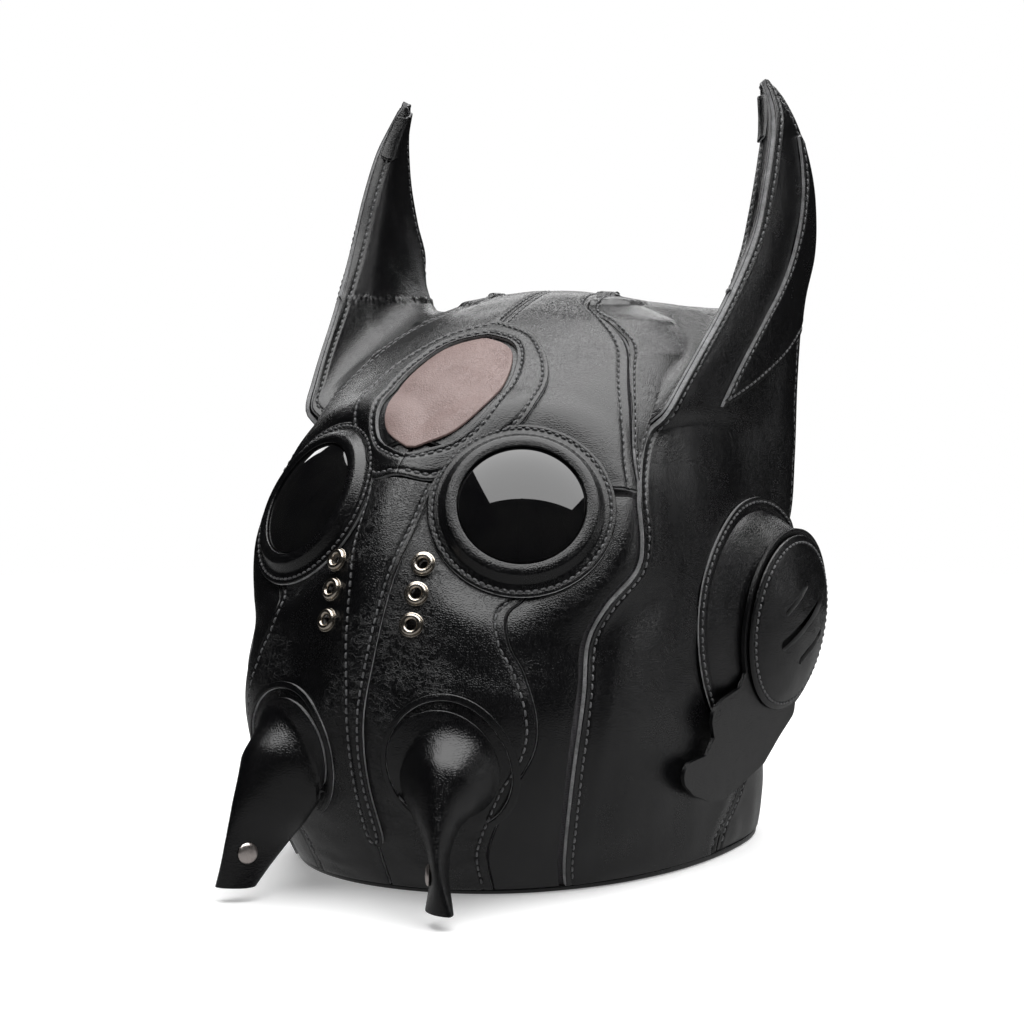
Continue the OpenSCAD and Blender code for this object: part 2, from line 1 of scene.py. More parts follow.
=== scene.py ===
"""Looks of the leather masquerade hood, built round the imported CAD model. Shapes are worked out in
millimetres and handed to Blender in metres. Front is -Y, up is +Z, the wearer's left is +X."""

import math

import bpy
from mathutils import Matrix
import numpy as np


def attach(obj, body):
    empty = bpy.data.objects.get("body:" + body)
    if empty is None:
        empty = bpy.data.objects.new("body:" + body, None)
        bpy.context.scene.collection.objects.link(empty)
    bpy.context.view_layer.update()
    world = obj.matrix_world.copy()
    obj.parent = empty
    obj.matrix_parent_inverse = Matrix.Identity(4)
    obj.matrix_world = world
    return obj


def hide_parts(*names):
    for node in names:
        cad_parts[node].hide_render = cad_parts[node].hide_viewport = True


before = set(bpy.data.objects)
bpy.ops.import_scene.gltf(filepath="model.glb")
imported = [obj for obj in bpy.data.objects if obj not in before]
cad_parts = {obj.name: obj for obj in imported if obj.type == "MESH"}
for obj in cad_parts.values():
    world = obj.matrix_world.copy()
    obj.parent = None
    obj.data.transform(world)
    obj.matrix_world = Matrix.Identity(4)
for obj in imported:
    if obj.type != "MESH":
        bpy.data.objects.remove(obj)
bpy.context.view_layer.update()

MM = 0.001
SHIFT = np.array([0, -6.6, 0])
LINING_LO = -0.7
LINING_HI = 0.3
BASE_LO = 1.6
BASE_HI = 3.4
OVER_LO = 4.0
OVER_HI = 5.8
LEATHER = 1.8
LOW_T = 0.22
RING_RISE = 7.0
RING_D = 84.0
OPENING_D = 57.0
EAR_D = 86.0
EYE_AT = (56.0, -78, 174)
MANDIBLE_W = 46
SEAT_CLEAR = 12
SIDES = (("left", 1), ("right", -1))
rng = np.random.default_rng(7)

# ---------- the hood's surface
# Levels: height, front, back and widest Y, half width, front and back squareness
LEVELS = np.array([
    [0, -92, 148, 52, 104, 2.1, 2.5],
    [25, -106, 151, 52, 105, 2.3, 2.6],
    [55, -120, 153, 52, 105, 2.6, 2.6],
    [80, -124, 154, 52, 105, 2.75, 2.6],
    [105, -117, 154, 50, 105, 2.7, 2.6],
    [135, -108, 154, 47, 105, 2.5, 2.5],
    [164, -95.5, 153, 47, 105, 2.4, 2.4],
    [189, -78, 150, 50, 103, 2.3, 2.4],
    [214, -50, 144, 54, 98, 2.3, 2.3],
    [238, -13, 132, 60, 87, 2.2, 2.2],
    [254, 16, 114, 64, 67, 2.2, 2.1],
    [264, 42, 94, 67, 42, 2.1, 2],
    [268, 58, 80, 69, 18, 2, 2],
    [269, 69, 71, 70, 1, 2, 2],
], float)
TOP = len(LEVELS) - 1


def smooth(k):
    k = np.clip(k, 0, 1)
    return k * k * (3 - 2 * k)


def mix(a, b, k):
    return a + (b - a) * k


def lerp(a, b, k):
    return a + (b - a) * np.asarray(k)[..., None]


def length(v):
    return np.sqrt((v * v).sum(-1))


def spin(axis, angle):
    """Rotation by an angle about the x (0), y (1) or z (2) axis."""
    i, j = (axis + 1) % 3, (axis + 2) % 3
    m = np.eye(3)
    m[i, i] = m[j, j] = math.cos(angle)
    m[i, j] = -math.sin(angle)
    m[j, i] = math.sin(angle)
    return m


def unit(v):
    return v / np.maximum(length(v), 1e-9)[..., None]


def curve(v, t):
    """A smooth curve through the points of v, at t counted in points."""
    v = np.asarray(v, float)
    t = np.asarray(t, float)
    n = len(v) - 1
    i = np.clip(np.floor(np.maximum(t, 0)), 0, n - 1).astype(int)
    f = (t - i)[..., None]
    a = v[np.maximum(i - 1, 0)]
    b = v[i]
    c = v[i + 1]
    d = v[np.minimum(i + 2, n)]
    return 0.5 * (2 * b + (c - a) * f + (2 * a - 5 * b + 4 * c - d) * f**2 + (3 * b - a - 3 * c + d) * f**3)


def along(v, s):
    return curve(v, np.asarray(s, float) * (len(v) - 1))


EYE_OUT = math.radians(27)
EYE_UP = math.radians(28.5)


def eye_axis(side):
    return np.array([
        side * math.cos(EYE_UP) * math.sin(EYE_OUT),
        -math.cos(EYE_UP) * math.cos(EYE_OUT),
        math.sin(EYE_UP),
    ])


def eye_rim(side):
    return np.array(EYE_AT) * [side, 1, 1]


def press(p, side):
    n = eye_axis(side)
    d = p - (eye_rim(side) - (RING_RISE + BASE_HI + 0.3) * n)
    h = d @ n
    r = length(d - h[..., None] * n)
    k = np.where(h > -40, smooth((64 - r) / 22), 0)
    return p - (h * k)[..., None] * n


def nose_ridge(p):
    x, y, z = p[..., 0], p[..., 1], p[..., 2]
    lift = 6 * np.exp(-x * x / 200) * smooth((z - 70) / 50) * smooth((205 - z) / 40)
    return np.stack([x, np.where(y > 0, y, y - lift), z], -1)


def hood(p):
    """The hood's surface at [angle, level]: the angle runs from the front over the left side to the back."""
    a = np.radians(p[..., 0])
    r = curve(LEVELS, p[..., 1])
    s = np.sin(a)
    c = np.cos(a)
    n = np.where(c >= 0, r[..., 5], r[..., 6])
    reach = np.where(c >= 0, r[..., 1] - r[..., 3], r[..., 3] - r[..., 2])
    k = (np.abs(s) ** n + np.abs(c) ** n) ** (-1 / n)
    q = nose_ridge(np.stack([r[..., 4] * s * k, r[..., 3] + reach * c * k, r[..., 0]], -1))
    return press(press(q, 1), -1)


def on_hood(p, lift):
    p = np.asarray(p, float)
    da = np.array([0.5, 0])
    dt = np.array([0, 0.03])
    n = unit(np.cross(hood(p + da) - hood(p - da), hood(p + dt) - hood(p - dt)))
    return hood(p) + np.asarray(lift)[..., None] * n


def on_rim(p, lift):
    q = on_hood(p, lift)
    q[..., 2] = np.maximum(q[..., 2], 0)
    return q


def to_map(p):
    p = np.asarray(p, float)
    a = np.radians(p[..., 0])
    return (TOP - p[..., 1])[..., None] * np.stack([np.sin(a), np.cos(a)], -1)


def from_map(m):
    return np.stack([np.degrees(np.arctan2(m[..., 0], m[..., 1])), TOP - length(m)], -1)


def hood_patch(e0, e1):
    return lambda s, v: hood(lerp(along(e0, s), along(e1, s), v))


def crown_patch(e0, e1):
    m0 = to_map(e0)
    m1 = to_map(e1)

    def bow(i, v):
        flat = lerp(m0[i], m1[i], v)
        return (TOP - mix(e0[i][1], e1[i][1], v)) / length(flat)

    def at(s, v):
        first = mix(1, bow(0, v), smooth(1 - 4 * s))
        last = mix(1, bow(-1, v), smooth(3 * s - 2))
        return hood(from_map(lerp(along(m0, s), along(m1, s), v) * (first * last)[..., None]))

    return at


# Panel edges on the left half as [angle, level], and the horn's edges as points
CHEEK_SEAM = [
    [25, LOW_T], [26, 0.93], [32, 1.7], [38, 2.45], [39, 3.1], [36, 3.85], [32.5, 4.3], [31.5, 4.7],
    [35, 5.05], [31, 5.8], [24, 6.88],
]
SIDE_FRONT = [
    [40, LOW_T], [41, 0.78], [45, 2.08], [47, 3.43], [47, 4.3], [50.5, 4.75], [56.5, 5.18],
    [57.2, 5.58], [55.5, 6.28], [54.8, 7.1], [56, 7.6],
]
TEMPLE = [
    [55, 6.4], [52.5, 7.12], [50.5, 7.83], [48.5, 8.5], [47.5, 9.2], [44, 9.78], [37, 10.4],
    [48, 11.1], [90, 11.5], [130, 11], [143, 10.2], [143, 9.2], [141, 8.2],
]
CENTRE = [
    [0.4, 7.4], [0.4, 8.2], [0.4, 9.2], [0.4, 10], [0.4, 10.7], [0.4, 11.4], [0.4, 12.2],
    [179, 12.7], [179.4, 12], [179.5, 11], [179.5, 10], [179.5, 9], [179.5, 8.2],
]
BACK_EDGE = [[80, LOW_T], [82, 0.6], [90, 1.15], [100, 2], [107, 3.2], [112, 4.4]]
BROW_OUTER = [
    [0, 9.82], [14, 9.5], [21, 9.08], [27, 8.4], [25, 7.75], [17, 7.2], [9, 6.78], [0, 6.76],
]
BROW_INNER = [
    [0, 9.38], [9, 9.22], [14, 8.95], [17, 8.45], [16, 7.95], [10.5, 7.42], [3.5, 7.16], [0, 7.08],
]
NOSE_HALF = [[0.5, 0.98], [2.5, 1.15], [2.5, 2], [2.7, 3], [3.5, 4], [5, 5], [7.2, 6], [9, 6.7]]
INSET = [[1, 7.2], [9, 7.5], [14.6, 8], [15.6, 8.45], [12.8, 8.92], [8, 9.16], [1, 9.3]]
LEAD = [
    [95.6, -12, 213], [99, -1, 226], [102.5, 13.5, 242], [106, 29.5, 259], [109.4, 46, 279],
    [111.8, 60.5, 300], [112, 72, 324], [110.8, 83, 346], [107.6, 91, 360], [101, 96.3, 375],
]
TRAIL = [
    [106, 102, 140], [111, 109, 160], [112, 112, 190], [112, 115, 230], [112, 123, 268],
    [113, 134, 293], [115, 129, 313], [115, 122, 333], [112, 114, 352], [107, 106, 366],
    [101.5, 98, 375],
]


def edge(points, by=0):
    return np.array(points, float) + [by, 0]


def level_at(z):
    return np.interp(z, LEVELS[:, 0], np.arange(TOP + 1))


def section(y, z):
    """The hood's level at height z, and its squareness and reach on the side that y lies on."""
    r = curve(LEVELS, level_at(z))
    front = y < r[..., 3]
    n = np.where(front, r[..., 5], r[..., 6])
    return r, n, np.where(front, r[..., 3] - r[..., 1], r[..., 2] - r[..., 3])


def hood_x(y, z):
    r, n, reach = section(y, z)
    q = np.minimum(np.abs(y - r[..., 3]) / reach, 0.98)
    return r[..., 4] * (1 - q**n) ** (1 / n)


def side_x(y, z):
    flare = smooth((z - 118) / 40) * smooth((y - 35) / 60)
    return BASE_LO + mix(hood_x(y, z), 107.5 + 0.065 * (y - 40), flare)


def front_y(x, z):
    x = np.asarray(x, float)
    z = np.asarray(z, float)
    r = curve(LEVELS, level_at(z))
    q = np.minimum(np.abs(x) / r[..., 4], 0.98)
    y = r[..., 3] + (r[..., 1] - r[..., 3]) * (1 - q ** r[..., 5]) ** (1 / r[..., 5])
    return nose_ridge(np.stack([x, y, z], -1))[..., 1]


LEAD_3D = np.array(LEAD, float)
TRAIL_3D = np.array(TRAIL, float)
SIDE_FRONT_3D = np.concatenate([on_hood(edge(SIDE_FRONT), BASE_LO), LEAD_3D])
SIDE_BACK_3D = np.concatenate([on_hood(edge(BACK_EDGE), BASE_LO), TRAIL_3D])


def side_at(s, v):
    c = lerp(along(SIDE_FRONT_3D, s), along(SIDE_BACK_3D, s), v)
    x, y, z = c[..., 0], c[..., 1], c[..., 2]
    horn = x + 24 * v * (1 - v) * smooth((380 - z) / 120)
    a = side_x(y, z)
    b = x + 12 * v * (1 - v)
    low = (a + b + np.sqrt((a - b) ** 2 + 4)) / 2
    near = smooth(v / 0.1) * smooth((1 - v) / 0.1)
    full = mix(low, horn, smooth((z - 212) / 46))
    return np.stack([mix(x, full, near), y, z], -1)


def inside_k(p):
    """How far outside the hood's surface a point lies, as a fraction of the hood's width there."""
    r, n, reach = section(p[..., 1], p[..., 2])
    x = np.abs(p[..., 0]) / r[..., 4]
    y = np.abs(p[..., 1] - r[..., 3]) / reach
    return (x**n + y**n) ** (1 / n) - 1


def outside(p, lift, turns=4):
    """Pushes each point out until it stands that far off the hood."""
    for _ in range(turns):
        g = np.stack([inside_k(p + e) - inside_k(p - e) for e in 0.5 * np.eye(3)], -1)
        size = np.maximum(length(g), 1e-6)
        d = inside_k(p) / size
        p = p + np.maximum(lift - d, 0)[..., None] * g / size[..., None]
    return p


INNER_LEAD = np.concatenate([on_hood(edge(SIDE_FRONT[8:11]), BASE_LO), LEAD_3D])
INNER_TRAIL = TRAIL_3D[2:]
temple_line = edge(TEMPLE)
temple_line[:, 0] += np.where(temple_line[:, 0] < 90, 0.8, -0.8)
INNER_BASE = np.concatenate([on_hood(temple_line, BASE_LO), [[93, 124, 204]], TRAIL_3D[2:3]])
INNER_MID = np.concatenate([
    [along(INNER_BASE, 0.5)],
    [[60, 62, 259], [84, 60, 249], [98, 62, 257], [104, 68, 282], [106, 79, 318], [106, 88, 348]],
    [(LEAD_3D[9] + TRAIL_3D[10]) / 2],
])


def inner_at(s, v):
    lead = along(INNER_LEAD, s)
    trail = along(INNER_TRAIL, s)
    hump = (4 * v * (1 - v))[..., None]
    l0 = lerp(INNER_LEAD[0], INNER_TRAIL[0], v)
    half0 = (INNER_LEAD[0] + INNER_TRAIL[0]) / 2
    start = along(INNER_BASE, v) - l0 - hump * (INNER_MID[0] - half0)
    p = lerp(lead, trail, v) + hump * (along(INNER_MID, s) - (lead + trail) / 2)
    return outside(p + start * ((1 - s) ** 4)[..., None], BASE_LO)


BACK_RAIL = np.concatenate([
    on_hood(edge(BACK_EDGE, 0.8), BASE_LO), TRAIL_3D[:3] + [-0.6, 0.8, -2.5]
])
BACK_ANGLE = np.concatenate([edge(BACK_EDGE, 0.8), [[118, 5.3], [124, 6.3], [129, 7.3]]])


def back_at(s, v):
    e = along(BACK_ANGLE, s)
    level = mix(e[..., 1], mix(LOW_T, 8.08, s), smooth(v / 0.35))
    on = on_hood(np.stack([mix(e[..., 0], 176.5, v), level], -1), BASE_LO)
    return on + (along(BACK_RAIL, s) - on_hood(e, BASE_LO)) * (1 - smooth(v / 0.6))[..., None]


RIDGE = np.array([[39, -119, 88], [43, -135, 70], [48, -145, 49], [52, -150, 28], [55.5, -151, 6]], float)
HEEL = np.array([[39, -112, 38], [37, -115, 36], [36, -116, 31], [40, -121, 22], [47, -139, 6]], float)
WIDTHS = np.array([[1], [0.8], [0.46], [0.2], [0.3]])


def fang_at(s, v):
    turn = np.radians(mix(-166, 166, v))
    w = along(WIDTHS, s)[..., 0] * MANDIBLE_W
    p = lerp(along(RIDGE, s), along(HEEL, s), (1 - np.cos(turn)) / 2)
    x = p[..., 0] + w / 2 * np.sin(turn)
    z = p[..., 2]
    skin = front_y(x, np.maximum(z, 10)) - BASE_HI - 2.6
    y = np.minimum(mix(skin, p[..., 1], smooth(s / 0.3)), skin)
    return np.stack([x, y, z], -1)


def collar_at(s, v):
    c = (RIDGE[0] + HEEL[0]) / 2
    turn = np.radians(mix(150, -150, s))
    k = mix(1.05, 1.16, v)
    x = c[0] + k * MANDIBLE_W / 2 * np.sin(turn)
    z = c[2] + (k + 0.05) * 25 * np.cos(turn)
    return np.stack([x, front_y(x, z), z], -1)


EAR_AT = np.array([123.5, 72, 110])
EAR_TURN = math.radians(5)


def ear_axes(side):
    """The ear plate's own x, y and outward axes."""
    return spin(2, -EAR_TURN * side) @ spin(1, side * (math.pi / 2 + EAR_TURN))


def ear_foot(s, grow, lift):
    """Outline where the ear cup meets the side of the hood, and the angle of each point round it."""
    turn = np.radians(mix(-88, 268, s))
    y = 64 + (np.where(np.cos(turn) < 0, 60, 48) + grow) * np.cos(turn)
    z = 111 + (54 + grow) * np.sin(turn)
    return turn, np.stack([side_x(y, z) + LEATHER + lift, y, z], -1)


def ear_wall_at(s, v):
    turn, foot = ear_foot(s, 0, 2.6)
    hy = EAR_AT[1] + 44 * np.cos(turn)
    hz = EAR_AT[2] + 44 * np.sin(turn)
    plane = EAR_AT[0] + (hy - EAR_AT[1] + hz - EAR_AT[2]) * math.tan(EAR_TURN)
    head = np.stack([plane - 0.6, hy, hz], -1)
    return lerp(foot, head, v)


def flange_at(s, v):
    """The wall's foot, turned out flat on the side of the hood."""
    return ear_foot(s, mix(-1.5, 6, v), 1.9)[1]


# ---------- mesh making
def wobble(p, size, seed, waves=14):
    """Smooth unevenness between about -1 and 1, over lengths of about size mm."""
    r = np.random.default_rng(seed)
    k = unit(r.normal(size=(waves, 3))) * (2 * math.pi / size) * r.uniform(0.6, 1.4, (waves, 1))
    phase = r.uniform(0, 2 * math.pi, waves)
    return np.sin(p @ k.T + phase).sum(-1) / math.sqrt(waves)


def make(name, verts, faces, mats, which=None, sharp=50):
    mesh = bpy.data.meshes.new(name)
    verts = (np.asarray(verts, float) + SHIFT) * MM
    mesh.from_pydata(verts.tolist(), [], [tuple(int(i) for i in f) for f in faces])
    for m in mats:
        mesh.materials.append(m)
    if which is not None:
        mesh.polygons.foreach_set("material_index", np.asarray(which, np.int32))
    mesh.polygons.foreach_set("use_smooth", np.ones(len(mesh.polygons), bool))
    mesh.validate()
    mesh.update()
    mesh.set_sharp_from_angle(angle=math.radians(sharp))
    obj = bpy.data.objects.new(name, mesh)
    bpy.context.scene.collection.objects.link(obj)
    return obj


def finish_piece(obj, node, body="mask"):
    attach(obj, body)
    nodes = [node] if isinstance(node, str) else list(node)
    if nodes:
        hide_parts(*nodes)
    return obj


def near(offset, reach=1.5):
    """Places of the grid lines by an edge: close together at the edge and at a sewn line."""
    places = [0, 0.1, 0.25, 0.45, 0.75, 1.2, 1.8]
    for o in offset:
        places += [o + d for d in (-1.3, -0.8, -0.4, 0, 0.4, 0.8, 1.3, 2.2)]
    places = sorted(p for p in places if p >= 0)
    kept = [0]
    for p in places[1:]:
        if p - kept[-1] > 0.09:
            kept.append(p)
    return np.array(kept + [kept[-1] + reach])


def spread(total, head, tail, count):
    """Rows of places along lines of these lengths: head from the start, tail from the end, even between."""
    total = np.asarray(total, float)[:, None]
    k = np.minimum(1, 0.46 * total / max(head[-1], tail[-1]))
    a = head[None] * k
    b = total - tail[None] * k
    f = np.linspace(0, 1, count + 1)[1:-1][None]
    return np.concatenate([a, mix(a[:, -1:], b[:, -1:], f), b[:, ::-1]], 1)


def lay(at, sewn, step):
    """A grid whose lines follow the four edges at true distances. Returns the points."""
    n, m = 160, 90
    s, v = np.meshgrid(np.linspace(0, 1, n), np.linspace(0, 1, m), indexing="ij")
    p = at(s, v)
    run = np.concatenate([np.zeros((n, 1)), np.cumsum(length(np.diff(p, axis=1)), 1)], 1)
    across = max(3, int(run[:, -1].max() / step))
    want = spread(run[:, -1], near(sewn["v0"]), near(sewn["v1"]), across)
    cols = np.stack([np.interp(want[i], run[i], v[i]) for i in range(n)])
    line = np.linspace(0, 1, n)
    q = at(np.repeat(line[:, None], cols.shape[1], 1), cols)
    run = np.concatenate([np.zeros((1, q.shape[1])), np.cumsum(length(np.diff(q, axis=0)), 0)], 0)
    rows = max(3, int(run[-1].max() / step))
    want = spread(run[-1], near(sewn["s0"]), near(sewn["s1"]), rows)
    s2 = np.stack([np.interp(want[j], run[:, j], line) for j in range(q.shape[1])], 1)
    v2 = np.stack([np.interp(s2[:, j], line, cols[:, j]) for j in range(q.shape[1])], 1)
    return at(s2, v2)


def grid_normal(p):
    dj = np.gradient(p, axis=1)
    di = np.gradient(p, axis=0)
    return unit(np.cross(dj, di))


def runs(p):
    """Distance of each grid point from the four edges, along the grid."""
    dv = length(np.diff(p, axis=1))
    ds = length(np.diff(p, axis=0))
    v0 = np.concatenate([np.zeros((len(p), 1)), np.cumsum(dv, 1)], 1)
    s0 = np.concatenate([np.zeros((1, p.shape[1])), np.cumsum(ds, 0)], 0)
    return {"v0": v0, "v1": v0[:, -1:] - v0, "s0": s0, "s1": s0[-1:] - s0}


def in_hole(p, hole):
    """(inside, the points moved out to the hole's edge) for a round or long hole through a skin."""
    a, b, r, axis = hole
    q = p - a
    h = q @ axis
    q = q - h[..., None] * axis
    d = b - a
    k = np.clip((q @ d) / max(d @ d, 1e-9), 0, 1)
    w = q - k[..., None] * d
    dist = length(w)
    inside = (dist < r) & (np.abs(h) < 34)
    moved = p + w * (r / np.maximum(dist, 1e-6) - 1)[..., None]
    return inside, moved


def slab(name, top, low, mats, holes=(), flip=False, closed=False, layers=2):
    """A closed sheet between two grids, with a layered raw edge and holes."""
    n, m = top.shape[:2]
    keep = np.ones((n - 1, m - 1), bool)
    for hole in holes:
        inside, moved = in_hole(top, hole)
        gone = inside[:-1, :-1] & inside[1:, :-1] & inside[:-1, 1:] & inside[1:, 1:]
        keep &= ~gone
        top = np.where(inside[..., None], moved, top)
        _, moved_low = in_hole(low, hole)
        low = np.where(inside[..., None], moved_low, low)
    idx = np.arange(n * m).reshape(n, m)
    o = n * m
    i, j = np.nonzero(keep)
    a, b, c, d = idx[i, j], idx[i, j + 1], idx[i + 1, j + 1], idx[i + 1, j]
    faces = [np.stack([a, d, c, b], 1), np.stack([a, b, c, d], 1) + o]
    kinds = [np.zeros(len(a), int), np.zeros(len(a), int)]
    verts = [top.reshape(-1, 3), low.reshape(-1, 3)]
    total = 2 * n * m
    # outer borders, with layer lines
    borders = []
    if not closed:
        borders += [(idx[0, :], top[0] - top[1]), (idx[-1, ::-1], (top[-1] - top[-2])[::-1])]
    borders += [(idx[::-1, 0], (top[:, 0] - top[:, 1])[::-1]), (idx[:, -1], top[:, -1] - top[:, -2])]
    steps = []
    for k in range(layers):
        for f, out in ((0.06, -0.05), (0.3, 0.1), (0.7, 0.1), (0.94, -0.05)):
            steps.append(((k + f) / layers, out))
    tf = top.reshape(-1, 3)
    lf = low.reshape(-1, 3)
    for ids, out in borders:
        out = unit(out)
        prev = ids
        for f, push in steps:
            ring = mix(tf[ids], lf[ids], f) + out * push
            verts.append(ring)
            here = np.arange(total, total + len(ids))
            total += len(ids)
            faces.append(np.stack([prev[:-1], prev[1:], here[1:], here[:-1]], 1))
            kinds.append(np.ones(len(ids) - 1, int))
            prev = here
        last = ids + o
        faces.append(np.stack([prev[:-1], prev[1:], last[1:], last[:-1]], 1))
        kinds.append(np.ones(len(ids) - 1, int))
    # hole walls
    if holes:
        right = keep[:, :-1] & ~keep[:, 1:]
        left = ~keep[:, :-1] & keep[:, 1:]
        down = keep[:-1] & ~keep[1:]
        up = ~keep[:-1] & keep[1:]
        for sel, e in ((right, (0, 1, 1, 1)), (left, (1, 1, 0, 1)), (down, (1, 1, 1, 0)), (up, (1, 0, 1, 1))):
            i, j = np.nonzero(sel)
            p = idx[i + e[0], j + e[1]]
            q = idx[i + e[2], j + e[3]]
            faces.append(np.stack([p, q, q + o, p + o], 1))
            kinds.append(np.ones(len(i), int))
    verts = np.concatenate(verts)
    faces = np.concatenate(faces)
    kinds = np.concatenate(kinds)
    used = np.zeros(len(verts), bool)
    used[faces.ravel()] = True
    new = np.cumsum(used) - 1
    faces = new[faces]
    verts = verts[used]
    if not flip:
        faces = faces[:, ::-1]
    return make(name, verts, faces, mats, kinds)


class Thread:
    """Collects sewn stitches of one side into one mesh."""

    def __init__(self, name):
        self.name = name
        self.verts = []
        self.faces = []
        self.count = 0

    def row(self, path, normal, pitch=4.0, size=2.9, thick=0.52):
        """Stitches along a path, sunk at both ends."""
        gap = length(np.diff(path, axis=0))
        run = np.concatenate([[0], np.cumsum(gap)])
        if run[-1] < pitch * 2:
            return
        k = max(int(run[-1] / pitch), 1)
        t = (np.arange(k) + 0.5) * run[-1] / k
        pick = lambda u, a: np.stack([np.interp(u, run, a[:, c]) for c in range(3)], -1)
        n = unit(pick(t, normal))
        u = np.array([-0.5, -0.42, -0.2, 0.2, 0.42, 0.5]) * size
        wide = np.array([0.35, 0.85, 1, 1, 0.85, 0.35]) * thick
        lift = np.array([-0.35, 0.1, 0.32, 0.32, 0.1, -0.35])
        spin = np.linspace(0, 2 * math.pi, 8)[:-1]
        tilt = rng.normal(0, 0.05, k)
        mid = pick(t, path)
        ahead = unit(pick(t + 0.6, path) - pick(t - 0.6, path))
        side = unit(np.cross(n, ahead))
        ahead = unit(ahead + side * tilt[:, None])
        side = unit(np.cross(n, ahead))
        rings = []
        for a, w, h in zip(u, wide, lift):
            centre = mid + ahead * a + n * h
            for f in spin:
                rings.append(centre + side * (w * math.cos(f)) + n * (w * math.sin(f)))
        pts = np.stack(rings, 1)
        per = pts.shape[1]
        m = len(spin)
        one = []
        for i in range(len(u) - 1):
            for j in range(m):
                c = (j + 1) % m
                one.append([i * m + j, i * m + c, (i + 1) * m + c, (i + 1) * m + j])
        one = np.array(one)
        base = self.count + per * np.arange(k)
        self.faces += (one[None] + base[:, None, None]).reshape(-1, 4).tolist()
        for b in base:
            self.faces.append([int(b + j) for j in range(m - 1, -1, -1)])
            self.faces.append([int(b + (len(u) - 1) * m + j) for j in range(m)])
        self.verts.append(pts.reshape(-1, 3))
        self.count += per * k

    def done(self, mat, body="mask"):
        obj = make(self.name, np.concatenate(self.verts), self.faces, [mat], sharp=80)
        return finish_piece(obj, (), body)


def follow(d, a, e, o):
    """The line of grid values that runs o away from edge e."""
    reach = d[e]
    if e in ("s0", "s1"):
        reach = reach.T
        a = a.swapaxes(0, 1)
    if e in ("v1", "s1"):
        reach = reach[:, ::-1]
        a = a[:, ::-1]
    return np.stack([[np.interp(o, reach[i], a[i, :, c]) for c in range(3)] for i in range(len(a))])


def sew(thread, top, normal, d, rows, holes, clear):
    """Stitches along every sewn row of a panel, short of the row's ends and clear of the holes."""
    for e, offs in rows.items():
        for o in offs:
            path = follow(d, top, e, o)
            path_normal = follow(d, normal, e, o)
            run = np.concatenate([[0], np.cumsum(length(np.diff(path, axis=0)))])
            ok = (run > 2.2) & (run < run[-1] - 2.2)
            for a, b, r, axis in holes:
                inside, _ = in_hole(path, (a, b, r + clear, axis))
                ok &= ~inside
            parts = np.split(np.arange(len(path)), np.nonzero(np.diff(ok.astype(int)))[0] + 1)
            for part in parts:
                if len(part) > 3 and ok[part[0]]:
                    thread.row(path[part], path_normal[part])


def panel(name, at, lo, hi, side, mats=None, sewn=None, holes=(), step=2.4, soft=0.35, deep=0.5,
          rough=0.12, thread=None, seed=1, node=None, wrinkle=None, clear=0, rim=0.55):
    """One leather piece over a surface. sewn lists the distances of its stitch rows from each edge."""
    rows = {"v0": (), "v1": (), "s0": (), "s1": ()}
    rows.update(sewn or {})
    p = lay(at, rows, step)
    n = grid_normal(p)
    d = runs(p)
    close = np.minimum.reduce(list(d.values()))
    height = np.full(p.shape[:2], float(hi))
    height += soft * smooth(close / 9)
    inner = smooth(close / 4)
    height += rough * wobble(p * [side, 1, 1], 26, seed + side) * inner
    height += 0.15 * rough * wobble(p * [side, 1, 1], 9, seed + 5 + side) * inner
    if wrinkle is not None:
        height += wrinkle(p, side) * smooth(close / 2)
    for e, offs in rows.items():
        for o in offs:
            height -= deep * np.exp(-(((d[e] - o) / 0.85) ** 2))
            height += 0.16 * np.exp(-(((d[e] - o - 2.0) / 0.9) ** 2))
    corner = np.clip(1 - close / rim, 0, 1)
    height -= rim * (1 - np.sqrt(np.clip(1 - corner**2, 0, 1)))
    top = p + height[..., None] * n
    low = p + lo * n
    turn = np.array([side, 1, 1])
    top = top * turn
    low = low * turn
    obj = slab(name, top, low, mats or LEATHERS, holes, flip=side < 0)
    if thread is not None:
        sew(thread, top, n * turn, d, rows, holes, clear)
    return finish_piece(obj, node if node is not None else name)


def lathe(name, profile, origin, axes, mats, count=160, kinds=None, wave=None, sharp=40):
    """A closed outline of (radius, height) points turned about the third column of axes."""
    prof = np.array(profile, float)
    f = np.linspace(0, 2 * math.pi, count, endpoint=False)
    r = prof[:, 0][None] * np.ones((count, 1))
    h = prof[:, 1][None] * np.ones((count, 1))
    if wave is not None:
        r, h = wave(f[:, None], r, h)
    local = np.stack([r * np.cos(f)[:, None], r * np.sin(f)[:, None], h], -1)
    verts = local @ axes.T + origin
    m = len(prof)
    i = np.arange(count)[:, None]
    j = np.arange(m)[None]
    a = i * m + j
    b = i * m + (j + 1) % m
    c = ((i + 1) % count) * m + (j + 1) % m
    d = ((i + 1) % count) * m + j
    faces = np.stack([a, d, c, b], -1).reshape(-1, 4)
    which = None
    if kinds is not None:
        which = np.tile(np.array(kinds), count)
    return make(name, verts.reshape(-1, 3), faces, mats, which, sharp=sharp)


def rounded(points, r=0.4, cuts=4):
    """A closed outline with its corners rounded."""
    pts = np.array(points, float)
    out = []
    n = len(pts)
    for i in range(n):
        a, b, c = pts[i - 1], pts[i], pts[(i + 1) % n]
        la, lc = np.linalg.norm(a - b), np.linalg.norm(c - b)
        k = min(r, la * 0.45, lc * 0.45)
        p = b + (a - b) / la * k
        q = b + (c - b) / lc * k
        for t in np.linspace(0, 1, cuts + 1):
            out.append((1 - t) ** 2 * p + 2 * t * (1 - t) * b + t * t * q)
    return out


